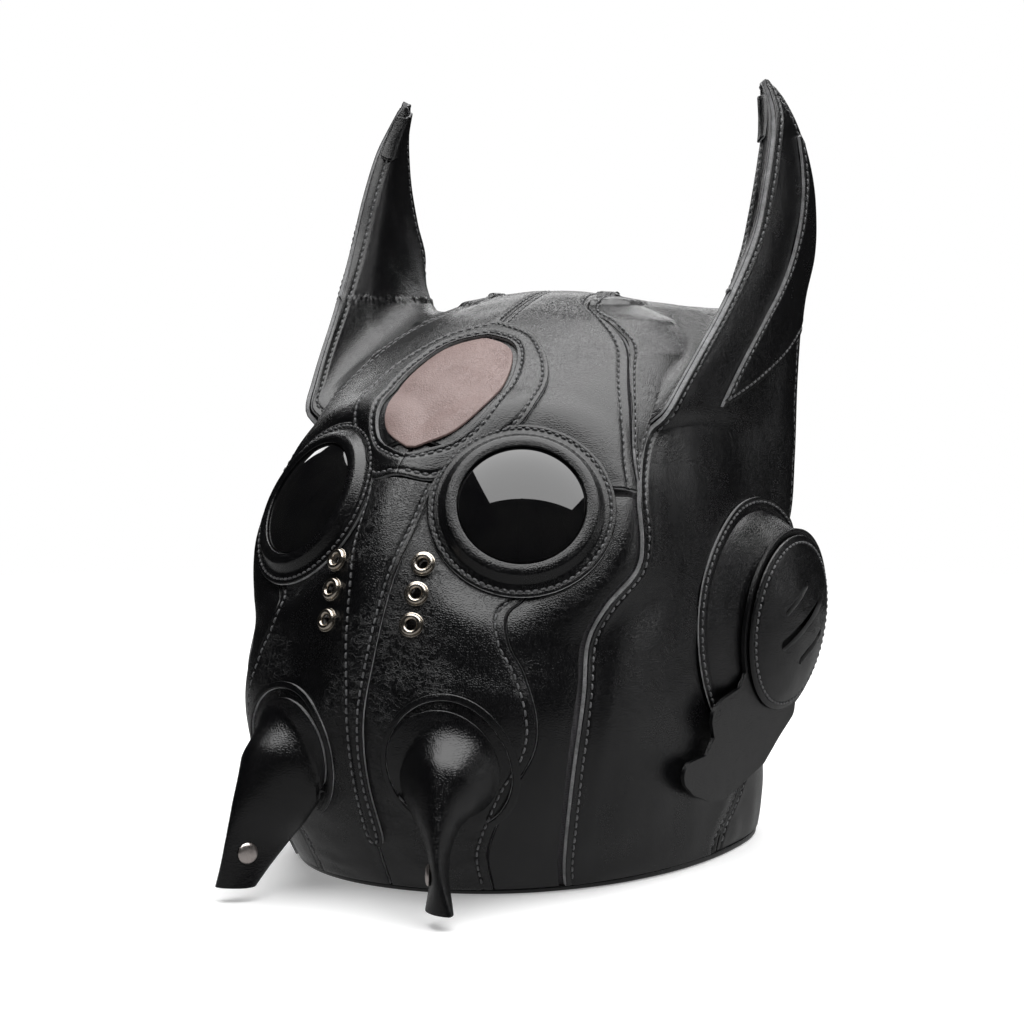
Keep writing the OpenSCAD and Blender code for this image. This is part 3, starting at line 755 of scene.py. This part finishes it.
def axes_from(normal, up=(0, 0, 1)):
    z = np.asarray(normal, float)
    z = z / np.linalg.norm(z)
    x = np.cross(up, z)
    x = x / np.linalg.norm(x)
    return np.stack([x, np.cross(z, x), z], 1)


# ---------- materials
class Nodes:
    """A small helper that adds and links shader nodes."""

    def __init__(self, name):
        self.mat = bpy.data.materials.new(name)
        self.mat.use_nodes = True
        self.tree = self.mat.node_tree
        self.shader = self.tree.nodes["Principled BSDF"]
        self.place = self.add("ShaderNodeTexCoord").outputs["Object"]

    def add(self, kind, **values):
        node = self.tree.nodes.new(kind)
        for key, value in values.items():
            setattr(node, key, value)
        return node

    def link(self, a, b):
        self.tree.links.new(a, b)

    def scaled(self, scale):
        node = self.add("ShaderNodeMapping")
        node.inputs["Scale"].default_value = scale
        self.link(self.place, node.inputs["Vector"])
        return node.outputs["Vector"]

    def noise(self, scale, detail=4, rough=0.55, twist=0.0, vector=None):
        node = self.add("ShaderNodeTexNoise")
        node.inputs["Scale"].default_value = scale
        node.inputs["Detail"].default_value = detail
        node.inputs["Roughness"].default_value = rough
        node.inputs["Distortion"].default_value = twist
        self.link(vector or self.place, node.inputs["Vector"])
        return node.outputs["Fac"]

    def cells(self, scale, feature="DISTANCE_TO_EDGE"):
        node = self.add("ShaderNodeTexVoronoi", feature=feature)
        node.inputs["Scale"].default_value = scale
        self.link(self.place, node.inputs["Vector"])
        return node.outputs["Distance"]

    def span(self, value, low, high, to_low=0.0, to_high=1.0):
        node = self.add("ShaderNodeMapRange")
        node.interpolation_type = "SMOOTHSTEP"
        for key, x in (("From Min", low), ("From Max", high), ("To Min", to_low), ("To Max", to_high)):
            node.inputs[key].default_value = x
        self.link(value, node.inputs["Value"])
        return node.outputs["Result"]

    def math(self, kind, a, b):
        node = self.add("ShaderNodeMath", operation=kind)
        for socket, x in zip(node.inputs, (a, b)):
            if isinstance(x, (int, float)):
                socket.default_value = x
            else:
                self.link(x, socket)
        return node.outputs["Value"]

    def ridge(self, value, width):
        """1 on thin lines where the noise passes its middle, 0 elsewhere."""
        off = self.math("ABSOLUTE", self.math("SUBTRACT", value, 0.5), 0)
        return self.span(off, 0.0, width, 1.0, 0.0)

    def colours(self, fac, stops):
        node = self.add("ShaderNodeValToRGB")
        ramp = node.color_ramp
        while len(ramp.elements) < len(stops):
            ramp.elements.new(0.5)
        for element, (pos, rgb) in zip(ramp.elements, stops):
            element.position = pos
            element.color = (*rgb, 1)
        self.link(fac, node.inputs["Fac"])
        return node.outputs["Color"]

    def bump(self, height, distance, strength=1.0):
        node = self.add("ShaderNodeBump")
        node.inputs["Strength"].default_value = strength
        node.inputs["Distance"].default_value = distance
        self.link(height, node.inputs["Height"])
        self.link(node.outputs["Normal"], self.shader.inputs["Normal"])

    def tint(self, fac, *stops):
        self.link(self.colours(fac, stops), self.shader.inputs["Base Color"])

    def gloss(self, fac, low, high, to_low, to_high):
        self.link(self.span(fac, low, high, to_low, to_high), self.shader.inputs["Roughness"])

    def set(self, **values):
        for key, value in values.items():
            self.shader.inputs[key.replace("_", " ")].default_value = value


def leather(name, dark, light, shine, creases=0.25, grain=1.0, cell=900, depth=0.00016):
    """Embossed leather: small pebbles, fine crossing wrinkles, and a finish that varies."""
    m = Nodes(name)
    pebble = m.span(m.cells(cell), 0.02, 0.3)
    wrinkle = m.ridge(m.noise(210, 4, 0.62, 0.5, m.scaled((1.0, 1.0, 1.7))), 0.05)
    crossing = m.ridge(m.noise(150, 4, 0.6, 0.4, m.scaled((1.8, 1.0, 0.8))), 0.045)
    where = m.span(m.noise(24, 2), 0.4, 0.62)
    lines = m.math("MULTIPLY", m.math("ADD", wrinkle, crossing), where)
    fold = m.noise(120, 3, 0.55)
    height = m.math("ADD", m.math("MULTIPLY", pebble, 0.42 * grain), m.math("MULTIPLY", fold, 0.7))
    height = m.math("SUBTRACT", height, m.math("MULTIPLY", lines, creases * 1.6))
    m.bump(height, depth)
    cloud = m.noise(22, 3, 0.5)
    tone = m.math("ADD", m.math("MULTIPLY", cloud, 0.7), m.math("MULTIPLY", pebble, 0.3))
    m.tint(tone, (0.25, dark), (0.75, light))
    worn = m.math("ADD", m.math("MULTIPLY", m.noise(40, 3, 0.5), 0.5), m.math("MULTIPLY", pebble, -0.2))
    m.gloss(worn, -0.1, 0.5, shine[1], shine[0])
    m.set(IOR=1.5)
    return m.mat


def raw_edge(name, dark, light):
    """Cut edge of leather: fibres under a worn dressing."""
    m = Nodes(name)
    fibre = m.noise(1500, 4, 0.7)
    patch = m.noise(190, 4, 0.65)
    tone = m.math("ADD", m.math("MULTIPLY", fibre, 0.45), m.math("MULTIPLY", patch, 0.55))
    m.tint(tone, (0.36, dark), (0.64, light))
    m.gloss(patch, 0.3, 0.7, 0.55, 0.85)
    m.bump(fibre, 0.0003, 0.8)
    return m.mat


def thread_mat():
    m = Nodes("waxed_thread")
    ply = m.add("ShaderNodeTexWave", wave_type="BANDS", bands_direction="DIAGONAL")
    ply.inputs["Scale"].default_value = 420
    ply.inputs["Distortion"].default_value = 1.5
    m.link(m.place, ply.inputs["Vector"])
    m.bump(ply.outputs["Fac"], 0.00012, 0.7)
    fuzz = m.noise(700, 3)
    # The base colour is partly the black thread's own dark grey and partly a painted highlight: it is lighter
    # than black thread so the stitches show as light dashes.
    m.tint(fuzz, (0.3, (0.045, 0.045, 0.047)), (0.7, (0.12, 0.12, 0.124)))
    m.gloss(fuzz, 0.3, 0.7, 0.28, 0.42)
    return m.mat


def cloth(name, dark, light, scale):
    """A plain weave seen as crossing threads."""
    m = Nodes(name)
    waves = []
    for direction in ("X", "Z"):
        w = m.add("ShaderNodeTexWave", wave_type="BANDS", bands_direction=direction)
        w.inputs["Scale"].default_value = scale
        w.inputs["Distortion"].default_value = 0.6
        m.link(m.place, w.inputs["Vector"])
        waves.append(w.outputs["Fac"])
    weave = m.math("MAXIMUM", waves[0], waves[1])
    fuzz = m.noise(900, 4)
    m.bump(m.math("ADD", weave, fuzz), 0.0003, 0.8)
    tone = m.math("ADD", m.math("MULTIPLY", weave, 0.5), m.math("MULTIPLY", fuzz, 0.5))
    m.tint(tone, (0.2, dark), (0.8, light))
    m.gloss(fuzz, 0.2, 0.8, 0.8, 0.95)
    m.set(Sheen_Weight=0.15)
    return m.mat


def metal(name, dark, light, shine, scratch=0.3):
    m = Nodes(name)
    cloud = m.noise(160, 4, 0.6)
    lines = m.noise(900, 3, 0.6, 0.0, m.scaled((1.0, 5.0, 0.4)))
    m.tint(cloud, (0.3, dark), (0.7, light))
    m.gloss(m.math("ADD", cloud, lines), 0.6, 1.4, shine[0], shine[1])
    m.bump(lines, 0.00005, scratch)
    m.set(Metallic=1.0)
    return m.mat


def lens_mat(name, dark, light):
    m = Nodes(name)
    cloud = m.noise(60, 3)
    m.tint(cloud, (0.3, dark), (0.7, light))
    m.gloss(m.noise(230, 4), 0.35, 0.8, 0.015, 0.05)
    m.bump(m.noise(35, 2), 0.00002, 0.4)
    m.set(IOR=1.5, Coat_Weight=0.4, Coat_Roughness=0.02)
    return m.mat


def rubber_mat():
    m = Nodes("gasket_rubber")
    fine = m.noise(1200, 4)
    m.tint(fine, (0.3, (0.006, 0.006, 0.006)), (0.7, (0.014, 0.014, 0.014)))
    m.gloss(fine, 0.3, 0.7, 0.45, 0.6)
    m.bump(fine, 0.0001, 0.4)
    return m.mat


PITCH = (0.0018, 0.0018, 0.0021)
SOOT = (0.0045, 0.0045, 0.005)
BLACK = leather("black_leather", PITCH, SOOT, (0.21, 0.27), 0.15, 0.8)
CREASED = leather("creased_leather", PITCH, SOOT, (0.22, 0.28), 0.4, 1.0)
SATIN = leather("satin_leather", PITCH, SOOT, (0.22, 0.28), 0.1, 0.8)
ROSE = leather("rose_leather", (0.16, 0.104, 0.095), (0.22, 0.15, 0.137), (0.42, 0.5), 0.4, 1.0, 800)
EDGE = raw_edge("raw_edge", (0.09, 0.09, 0.092), (0.3, 0.3, 0.305))
DARK_EDGE = raw_edge("dark_edge", (0.012, 0.012, 0.012), (0.045, 0.045, 0.046))
THREAD = thread_mat()
LINING = cloth("lining_cloth", (0.012, 0.011, 0.012), (0.04, 0.038, 0.042), 260)
TAPE = cloth("zip_cloth", (0.008, 0.008, 0.009), (0.03, 0.03, 0.03), 420)
NICKEL = metal("eyelet_nickel", (0.5, 0.44, 0.37), (0.72, 0.66, 0.58), (0.14, 0.3))
RIVET = metal("rivet_steel", (0.62, 0.55, 0.52), (0.8, 0.73, 0.7), (0.22, 0.4))
ZIP = metal("zip_metal", (0.16, 0.16, 0.165), (0.3, 0.3, 0.31), (0.28, 0.42))
LENS = lens_mat("lens_glass", (0.003, 0.003, 0.0035), (0.006, 0.006, 0.006))
RUBBER = rubber_mat()
LEATHERS = [BLACK, EDGE]

# ---------- lining and band
EYE_HOLES = {
    side: (eye_rim(side), eye_rim(side), OPENING_D / 2, eye_axis(side)) for side in (1, -1)
}
PANEL_HOLES = {
    side: [(eye_rim(side), eye_rim(side), OPENING_D / 2 + 2.5, eye_axis(side))] for side in (1, -1)
}


def lining():
    turns = np.linspace(-180, 180, 241)
    rows = np.concatenate([np.linspace(0, 12.6, 120), [12.97]])
    a, t = np.meshgrid(turns, rows, indexing="ij")
    p = np.stack([a, t], -1)
    one = np.ones(a.shape)
    top = on_rim(p, LINING_HI * one)
    low = on_rim(p, LINING_LO * one)
    puff = 0.25 * wobble(low, 30, 3)[..., None] * smooth(t / 0.6)[..., None]
    n = unit(top - low)
    low = low + puff * n * 0.5
    for g in (top, low):
        g[-1] = g[0]
    holes = [EYE_HOLES[1], EYE_HOLES[-1]]
    obj = slab("lining", top[:, ::-1], low[:, ::-1], [LINING, LINING], holes, closed=True)
    finish_piece(obj, "lining")


def neck_band():
    turns = np.linspace(-180, 180, 361)
    rows = np.array([0, 0.004, 0.01, 0.03, 0.06, 0.09, 0.12, 0.15, 0.17, 0.176, 0.18])
    a, t = np.meshgrid(turns, rows, indexing="ij")
    p = np.stack([a, t], -1)
    one = np.ones(a.shape)
    swell = 0.5 * np.sqrt(np.clip(1 - ((t - 0.09) / 0.09) ** 2, 0, 1))
    top = on_rim(p, BASE_LO + 0.7 + swell)
    low = on_rim(p, BASE_LO * one)
    for g in (top, low):
        g[-1] = g[0]
    obj = slab("neck_band", top[:, ::-1], low[:, ::-1], [SATIN, DARK_EDGE], closed=True, layers=1)
    finish_piece(obj, "neck_band")


lining()
neck_band()


# ---------- leather panels
def muzzle_folds(p, side):
    """Folds that run into the cheek seam and round the mandible's root."""
    x, z = p[..., 0], p[..., 2]
    near_root = np.exp(-(((x - 39) ** 2 + (z - 63) ** 2) / 2600))
    lines = np.sin((x * 0.35 + z * 0.9) * 0.5 + 1.6 * wobble(p * [side, 1, 1], 30, 11 + side))
    low = smooth((46 - z) / 30) * np.sin(z * 0.55 + 1.8 * wobble(p * [side, 1, 1], 22, 13))
    return 0.16 * near_root * lines + 0.2 * low * smooth((x - 10) / 20)


VENTS = [[21, 147], [20.5, 134.5], [20.5, 121.5]]
VENT_R = 2.6


def vent_frame(x, z, side):
    """Place and axes of a vent at (x, z) on the front of the hood, mirrored but right-handed on side -1."""
    tip = math.pi / 2 + math.atan2(float(front_y(x, z - 5) - front_y(x, z + 5)), 10)
    turn = math.atan2(float(front_y(x + 5, z) - front_y(x - 5, z)), 10)
    axes = spin(2, turn) @ spin(0, tip)
    point = np.array([x, float(front_y(x, z)), z])
    if side > 0:
        return point, axes
    flip = np.diag([-1.0, 1, 1])
    return point * [-1, 1, 1], flip @ axes @ flip


def hood_panels(word, side, thread):
    holes = PANEL_HOLES[side]
    vents = []
    for x, z in VENTS:
        point, axes = vent_frame(x, z, side)
        vents.append((point, point, VENT_R, axes[:, 2]))
    middle = [[0.4, mix(LOW_T, 7.33, s / 4)] for s in range(5)]
    panel(
        f"muzzle_panel_{word}", hood_patch(middle, edge(CHEEK_SEAM, -0.5)), BASE_LO, BASE_HI, side,
        mats=[CREASED, EDGE], sewn={"v1": (4.0,)}, holes=holes + vents, step=2.0, thread=thread,
        clear=SEAT_CLEAR, seed=21, rough=0.2, wrinkle=muzzle_folds,
    )
    cheek = hood_patch(edge(CHEEK_SEAM), edge(SIDE_FRONT[:9], -1.2))
    panel(f"cheek_panel_{word}", cheek, BASE_LO, BASE_HI - 0.3, side, holes=holes, seed=22)
    panel(
        f"crown_panel_{word}", crown_patch(CENTRE, TEMPLE), BASE_LO, BASE_HI, side, mats=[SATIN, EDGE],
        sewn={"v0": (2.6,), "v1": (4.2,)}, holes=holes, thread=thread, clear=SEAT_CLEAR, seed=23,
        rough=0.16,
    )


def tip_patch_at(s, v):
    return inner_at(mix(0.84, 0.95, s), mix(0.9, 0.1, v))


def overlay_at(s, v):
    across = mix(mix(0.33, 0.8, s**1.2), mix(0.95, 0.88, s * s), v)
    return side_at(mix(0.55, 0.87, s) + 0.05 * v * (1 - s), across)


def side_and_back(word, side, thread):
    panel(
        f"side_panel_{word}", side_at, 0.1, LEATHER + 0.8, side, mats=[SATIN, EDGE],
        sewn={"v0": (4.2,), "v1": (4.6,)}, step=3.0, thread=thread, seed=24, soft=0.2, rough=0.25,
    )
    panel(
        f"horn_inner_panel_{word}", lambda s, v: inner_at(s, 1 - v), 0.2, LEATHER, side,
        sewn={"v1": (4.2,), "s0": (4.5,), "v0": (4.6,)}, step=2.6, thread=thread, seed=25, soft=0.2,
    )
    panel(
        f"horn_tip_patch_{word}", tip_patch_at, LEATHER + 0.5, LEATHER + 1.7, side, step=1.4, seed=34,
        soft=0, rough=0.05,
    )
    panel(
        f"back_panel_{word}", back_at, 0, LEATHER, side, sewn={"v0": (4.0,), "v1": (5.0,), "s1": (4.0,)},
        step=3.0, thread=thread, seed=26, rough=0.25,
    )


def mandible(word, side):
    panel(
        f"mandible_{word}", lambda s, v: fang_at(s, 1 - v), -LEATHER, 0, side, step=1.6, seed=28, soft=0,
        rough=0.15,
    )
    panel(
        f"mandible_collar_{word}", collar_at, BASE_HI + 0.3, BASE_HI + LEATHER, side, step=1.4, seed=29,
        soft=0.1, rough=0.05,
    )


def horn_overlay(word, side, thread):
    panel(
        f"horn_overlay_{word}", overlay_at, LEATHER + 1.1, 2 * LEATHER + 1.3, side, mats=[SATIN, EDGE],
        sewn={"v0": (3.2,), "s0": (3.2,)}, thread=thread, seed=27, soft=0.2,
    )


def ball_radius(r, bulge):
    """Radius of the ball whose cap is r across its foot and stands bulge high."""
    return (r * r + bulge * bulge) / (2 * bulge)


def goggle(word, side, thread):
    axes = axes_from(eye_axis(side))
    seat = eye_rim(side) - RING_RISE * eye_axis(side)
    hole = OPENING_D / 2
    foot = RING_D / 2
    ring = rounded([
        (hole + 4, 0), (foot, 0), (foot, 1.9), (foot - 1.5, 2.15), (foot - 2.3, 1.75), (foot - 3.1, 2.3),
        (foot - 5.4, 2.9), (hole + 5.4, RING_RISE - 0.5), (hole + 3, RING_RISE + 0.1),
        (hole, RING_RISE - 0.1), (hole, 4.6), (hole + 2.2, 4.2),
    ], 0.8, 5)
    kinds = [1 if 3 < i < 13 else 0 for i in range(len(ring))]
    obj = lathe(f"eye_ring_{word}", ring, seat, axes, [SATIN, EDGE], 220, kinds)
    finish_piece(obj, f"eye_ring_{word}")
    f = np.linspace(0, 2 * math.pi, 400)
    sewn = foot - 2.3
    circle = np.stack([sewn * np.cos(f), sewn * np.sin(f), np.full(400, 2.0)], -1) @ axes.T + seat
    thread.row(circle, np.repeat(axes[:, 2][None], 400, 0), 3.4, 2.4)
    r = hole - 0.6
    bulge = 7
    ball = ball_radius(r, bulge)
    dome = [(q, 5 + bulge - ball + math.sqrt(ball * ball - q * q)) for q in np.linspace(0.02, r, 36)]
    dome += [(r, 0.3), (r - 0.5, 0.05), (0.02, 0.05)]
    obj = lathe(f"lens_{word}", dome, eye_rim(side) - 6 * eye_axis(side), axes, [LENS], 160)
    finish_piece(obj, f"lens_{word}")
    gasket = rounded([(hole - 0.3, 0), (hole + 1.8, 0), (hole + 1.8, 3.9), (hole - 0.3, 3.9)], 0.5)
    obj = lathe(f"lens_gasket_{word}", gasket, seat - 0.2 * axes[:, 2], axes, [RUBBER], 160)
    finish_piece(obj, f"lens_gasket_{word}")


def vent_fittings(word, side):
    """Each vent's eyelet, rolled over its washer."""
    roll = 1.3
    f = np.linspace(-0.5, math.pi + 0.5, 20)
    tube = [(3.65 + roll * math.cos(q), max(roll * math.sin(q), -0.1)) for q in f]
    tube += [(2.3, -2.2), (2.5, -2.2), (2.55, -0.1)]
    washer = rounded([(VENT_R, 0), (5.5, 0), (5.5, 0.4), (5.0, 0.55), (VENT_R, 0.55)], 0.15)
    for i, (x, z) in enumerate(VENTS, 1):
        point, axes = vent_frame(x, z, side)
        for name, profile, lift in (("eyelet", tube, 0.9), ("washer", washer, 0.25)):
            place = point + (BASE_HI + lift) * axes[:, 2]
            obj = lathe(f"{name}_{word}_{i}", profile, place, axes, [NICKEL], 72)
            finish_piece(obj, f"{name}_{word}_{i}")


def mandible_rivet(word, side):
    s, v, e = 0.81, 0.31, 0.01
    fang = lambda s, v: fang_at(np.array(s, float), np.array(v, float))
    n = unit(np.cross(fang(s + e, v) - fang(s - e, v), fang(s, v + e) - fang(s, v - e)))
    place = (fang(s, v) + 0.35 * n) * [side, 1, 1]
    cap = [(0.02, 1.55), (1.5, 1.5), (2.8, 1.33), (3.8, 1.02), (4.4, 0.62), (4.7, 0.2), (4.6, 0), (0.02, 0)]
    obj = lathe(f"mandible_rivet_{word}", cap, place, axes_from(n * [side, 1, 1]), [RIVET], 72)
    finish_piece(obj, f"mandible_rivet_{word}")


# Each slot of the ear dome: back and up of its two ends, and its width
SLOTS = [[0, 19.5, -19, 7.5, 3], [18, 10.2, -18.5, -8, 6], [22, -6.5, 0, -17.5, 4]]


def ear_dome(word, side, thread):
    ear = ear_axes(side)
    origin = EAR_AT * [side, 1, 1] + (LEATHER + 0.15) * ear[:, 2]
    r = EAR_D / 2
    bulge = 9
    sewn = 3.3
    ball = ball_radius(r, bulge)
    base = bulge + 1.5 - ball
    f = np.linspace(0, 2 * math.pi, 361)
    by_rim = np.array([4.1, 3.7, 3.3, 2.9, 2.5, 2, 1.4, 0.9, 0.5, 0.2, 0])
    q = np.concatenate([np.linspace(0.3, r - 4.6, 56), r - by_rim])
    qq, ff = np.meshgrid(q, f, indexing="ij")
    h = base + np.sqrt(ball**2 - qq**2)
    flat = np.stack([qq * np.cos(ff), qq * np.sin(ff)], -1)
    uneven = wobble(np.concatenate([flat, flat[..., :1]], -1), 18, 40 + side)
    h_top = h + 0.12 * uneven * smooth((r - qq) / 8)
    h_top -= 0.45 * np.exp(-(((r - qq - sewn) / 0.8) ** 2))
    h_top -= 0.6 * (1 - np.sqrt(np.clip(1 - np.clip(1 - (r - qq) / 0.6, 0, 1) ** 2, 0, 1)))
    top = np.concatenate([flat, h_top[..., None]], -1)
    low = np.concatenate([flat, np.maximum(h - 2.3, 0.0)[..., None]], -1)
    cuts = []
    for back0, up0, back1, up1, width in SLOTS:
        a = np.array([-side * up0, back0, 5.0])
        b = np.array([-side * up1, back1, 5.0])
        cuts.append((ear @ a + origin, ear @ b + origin, width / 2, ear[:, 2]))
    obj = slab(
        f"ear_dome_{word}", top @ ear.T + origin, low @ ear.T + origin, [BLACK, DARK_EDGE], cuts, flip=True,
        closed=True, layers=1,
    )
    finish_piece(obj, f"ear_dome_{word}")
    circle = np.stack([(r - sewn) * np.cos(f), (r - sewn) * np.sin(f), np.full(361, 0.0)], -1)
    circle[:, 2] = base + math.sqrt(ball**2 - (r - sewn) ** 2) - 0.4
    thread.row(circle @ ear.T + origin, np.repeat(ear[:, 2][None], 361, 0), 3.6, 2.5)


def ear_cup(word, side, thread):
    panel(
        f"ear_wall_{word}", lambda s, v: ear_wall_at(1 - s, v), -LEATHER, 0, side, step=1.8, seed=31,
        soft=0.1, rough=0.15,
    )
    panel(
        f"ear_flange_{word}", flange_at, 0, 1.3, side, sewn={"v1": (2.4,)}, step=2.0, thread=thread,
        seed=32, soft=0, deep=0.35, rough=0.05, node=(),
    )
    ear_dome(word, side, thread)


def zip_tape(word, side):
    inner, outer = ([[a, mix(0.4, 6.4, s / 3)] for s in range(4)] for a in (176.9, 179.8))
    panel(
        f"zip_tape_{word}", hood_patch(inner, outer), BASE_LO, BASE_LO + 0.8, side, mats=[TAPE, TAPE],
        step=1.5, seed=33, soft=0, rough=0.04, rim=0.25,
    )


def brow_at(s, v):
    """The frame goes once round the oval: up the left half and down the right."""
    left = s <= 0.5
    k = np.where(left, 1 - 2 * s, 2 * s - 1)
    p = lerp(along(edge(BROW_INNER), k), along(edge(BROW_OUTER), k), v)
    return hood(p * np.where(left, 1, -1)[..., None] * [1, 0] + p * [0, 1])


def middle_pieces(thread):
    both = {"v0": (2.6,), "v1": (2.6,)}
    panel(
        "brow_frame", brow_at, OVER_LO, OVER_HI, 1, mats=[SATIN, EDGE], sewn=both, step=1.6, thread=thread,
        seed=41, soft=0.25, rough=0.06,
    )
    strip = hood_patch(edge(NOSE_HALF) * [-1, 1], edge(NOSE_HALF))
    panel(
        "nose_strip", strip, OVER_LO, OVER_HI, 1, mats=[CREASED, EDGE], sewn=both, step=1.6, thread=thread,
        seed=42, soft=0.3, rough=0.12,
    )
    oval = hood_patch(edge(INSET) * [-1, 1], edge(INSET))
    panel(
        "forehead_inset", oval, OVER_LO, OVER_HI - 0.8, 1, mats=[ROSE, ROSE],
        step=1.8, seed=43, soft=0.5, rough=0.12,
    )


threads = []
for word, side in SIDES:
    stitches = Thread(f"stitches_{word}")
    threads.append(stitches)
    hood_panels(word, side, stitches)
    side_and_back(word, side, stitches)
    mandible(word, side)
    horn_overlay(word, side, stitches)
    goggle(word, side, stitches)
    vent_fittings(word, side)
    mandible_rivet(word, side)
    ear_cup(word, side, stitches)
    zip_tape(word, side)

threads.append(Thread("stitches_centre"))
middle_pieces(threads[-1])
for stitches in threads:
    stitches.done(THREAD)

# ---------- CAD nodes that are kept
KEPT = {
    "zip_teeth_left": (ZIP, 0.2), "zip_teeth_right": (ZIP, 0.2), "zip_slider": (ZIP, 0.35),
    "zip_pull": (ZIP, 0.3), "ear_plate_left": (BLACK, 0.5), "ear_plate_right": (BLACK, 0.5),
}
for node, (mat, width) in KEPT.items():
    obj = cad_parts[node]
    obj.data.materials.clear()
    obj.data.materials.append(mat)
    bevel = obj.modifiers.new("eased_edges", "BEVEL")
    bevel.width = width * MM
    bevel.segments = 3
    bevel.limit_method = "ANGLE"
    bevel.angle_limit = math.radians(40)


# ---------- floor, light and camera, in metres
def studio_piece(name, verts, faces, mat_name, sockets, hidden=()):
    """A mesh with one plain material, left out of some kinds of ray. Returns its node tree and shader."""
    mesh = bpy.data.meshes.new(name)
    mesh.from_pydata(verts, [], faces)
    mat = bpy.data.materials.new(mat_name)
    mat.use_nodes = True
    shader = mat.node_tree.nodes["Principled BSDF"]
    for key, value in sockets.items():
        shader.inputs[key].default_value = value
    mesh.materials.append(mat)
    obj = bpy.data.objects.new(name, mesh)
    for ray in hidden:
        setattr(obj, f"visible_{ray}", False)
    bpy.context.scene.collection.objects.link(obj)
    return mat.node_tree, shader


def disc(radius, height):
    turns = np.linspace(0, 2 * math.pi, 96, endpoint=False)
    return [(radius * math.cos(a), radius * math.sin(a), height) for a in turns]


WHITE = (1, 1, 1, 1)
ROUND = [list(range(96))]

# The floor is lit near the mask and fades into the backdrop at its rim
tree, shader = studio_piece(
    "floor", disc(1.5, -0.0005), ROUND, "floor_white",
    {"Roughness": 0.6, "Specular IOR Level": 0.2, "Emission Color": WHITE}, ("glossy",),
)
spot = tree.nodes.new("ShaderNodeTexCoord")
reach = tree.nodes.new("ShaderNodeVectorMath")
reach.operation = "LENGTH"
tree.links.new(spot.outputs["Object"], reach.inputs[0])
for socket, at_mask, at_rim in (("Emission Strength", 0.3, 1.0), ("Base Color", 0.86, 0.0)):
    fade = tree.nodes.new("ShaderNodeMapRange")
    fade.interpolation_type = "SMOOTHSTEP"
    for key, x in (("From Min", 0.45), ("From Max", 1.35), ("To Min", at_mask), ("To Max", at_rim)):
        fade.inputs[key].default_value = x
    tree.links.new(reach.outputs["Value"], fade.inputs["Value"])
    tree.links.new(fade.outputs["Result"], shader.inputs[socket])

# What shines up from the floor into the leather, dimmer than the floor looks
studio_piece(
    "floor_glow", disc(0.9, -0.004), ROUND, "soft_glow",
    {"Base Color": (0, 0, 0, 1), "Emission Color": WHITE, "Emission Strength": 0.3},
    ("camera", "diffuse", "shadow"),
)

# A dark room that the camera doesn't see keeps the leather deep while the backdrop stays pale
ROOM_R = 3
ROOM_LOW = -0.6
ROOM_TOP = 4
SQUARE = ((3.2, 3.2), (-3.2, 3.2), (-3.2, -3.2), (3.2, -3.2))
corners = []
for i in range(16):
    a, b = ((ROOM_R * math.cos(k), ROOM_R * math.sin(k)) for k in (i * math.pi / 8, (i + 1) * math.pi / 8))
    corners += [(*a, ROOM_LOW), (*b, ROOM_LOW), (*b, ROOM_TOP), (*a, ROOM_TOP)]
for level in (ROOM_LOW, ROOM_TOP):
    corners += [(*c, level) for c in SQUARE]
studio_piece(
    "dark_room", corners, [[4 * i, 4 * i + 1, 4 * i + 2, 4 * i + 3] for i in range(18)], "dark_felt",
    {"Base Color": (0.02, 0.02, 0.02, 1), "Roughness": 0.9}, ("camera",),
)

world = bpy.data.worlds.new("pale_backdrop")
world.use_nodes = True
world.node_tree.nodes["Background"].inputs["Color"].default_value = WHITE
world.node_tree.nodes["Background"].inputs["Strength"].default_value = 1.0
bpy.context.scene.world = world


def softbox(name, at, to, size, power, up=(0, 0.001, 1)):
    data = bpy.data.lights.new(name, "AREA")
    data.shape = "RECTANGLE"
    data.size = size[0]
    data.size_y = size[1]
    data.energy = power
    obj = bpy.data.objects.new(name, data)
    obj.location = at
    d = np.array(at, float) - np.array(to, float)
    obj.rotation_euler = Matrix(axes_from(d, up).tolist()).to_euler()
    bpy.context.scene.collection.objects.link(obj)


STUDIO_TURN = math.radians(27)
AWAY = np.array([-math.sin(STUDIO_TURN), math.cos(STUDIO_TURN), 0])
RIGHT = np.array([math.cos(STUDIO_TURN), math.sin(STUDIO_TURN), 0])
OVERHEAD = 0.35 * RIGHT - 0.05 * AWAY
MASK_MIDDLE = (0, 0, 0.2)
softbox("top_light", OVERHEAD + [0, 0, 1.5], OVERHEAD, (2.3, 2.1), 64, AWAY)
softbox("crown_light", 1.7 * AWAY + [0, 0, 1.0], MASK_MIDDLE, (2.0, 0.4), 7)
softbox("right_strip", (1.6, 1.0, 0.7), MASK_MIDDLE, (0.25, 1.4), 2.5)

AZIMUTH = math.radians(27.1)
ELEVATION = math.radians(3.83)
DISTANCE = 1.082
TARGET = np.array([0, 0.0154, 0.1628])
back = np.array([
    math.sin(AZIMUTH) * math.cos(ELEVATION), -math.cos(AZIMUTH) * math.cos(ELEVATION), math.sin(ELEVATION)
])
lens = bpy.data.cameras.new("camera")
lens.lens = 77.3
lens.sensor_width = 36
camera = bpy.data.objects.new("camera", lens)
camera.location = TARGET + DISTANCE * back
camera.rotation_euler = Matrix(axes_from(back).tolist()).to_euler()
scene = bpy.context.scene
scene.collection.objects.link(camera)
scene.camera = camera
scene.view_settings.view_transform = "Standard"
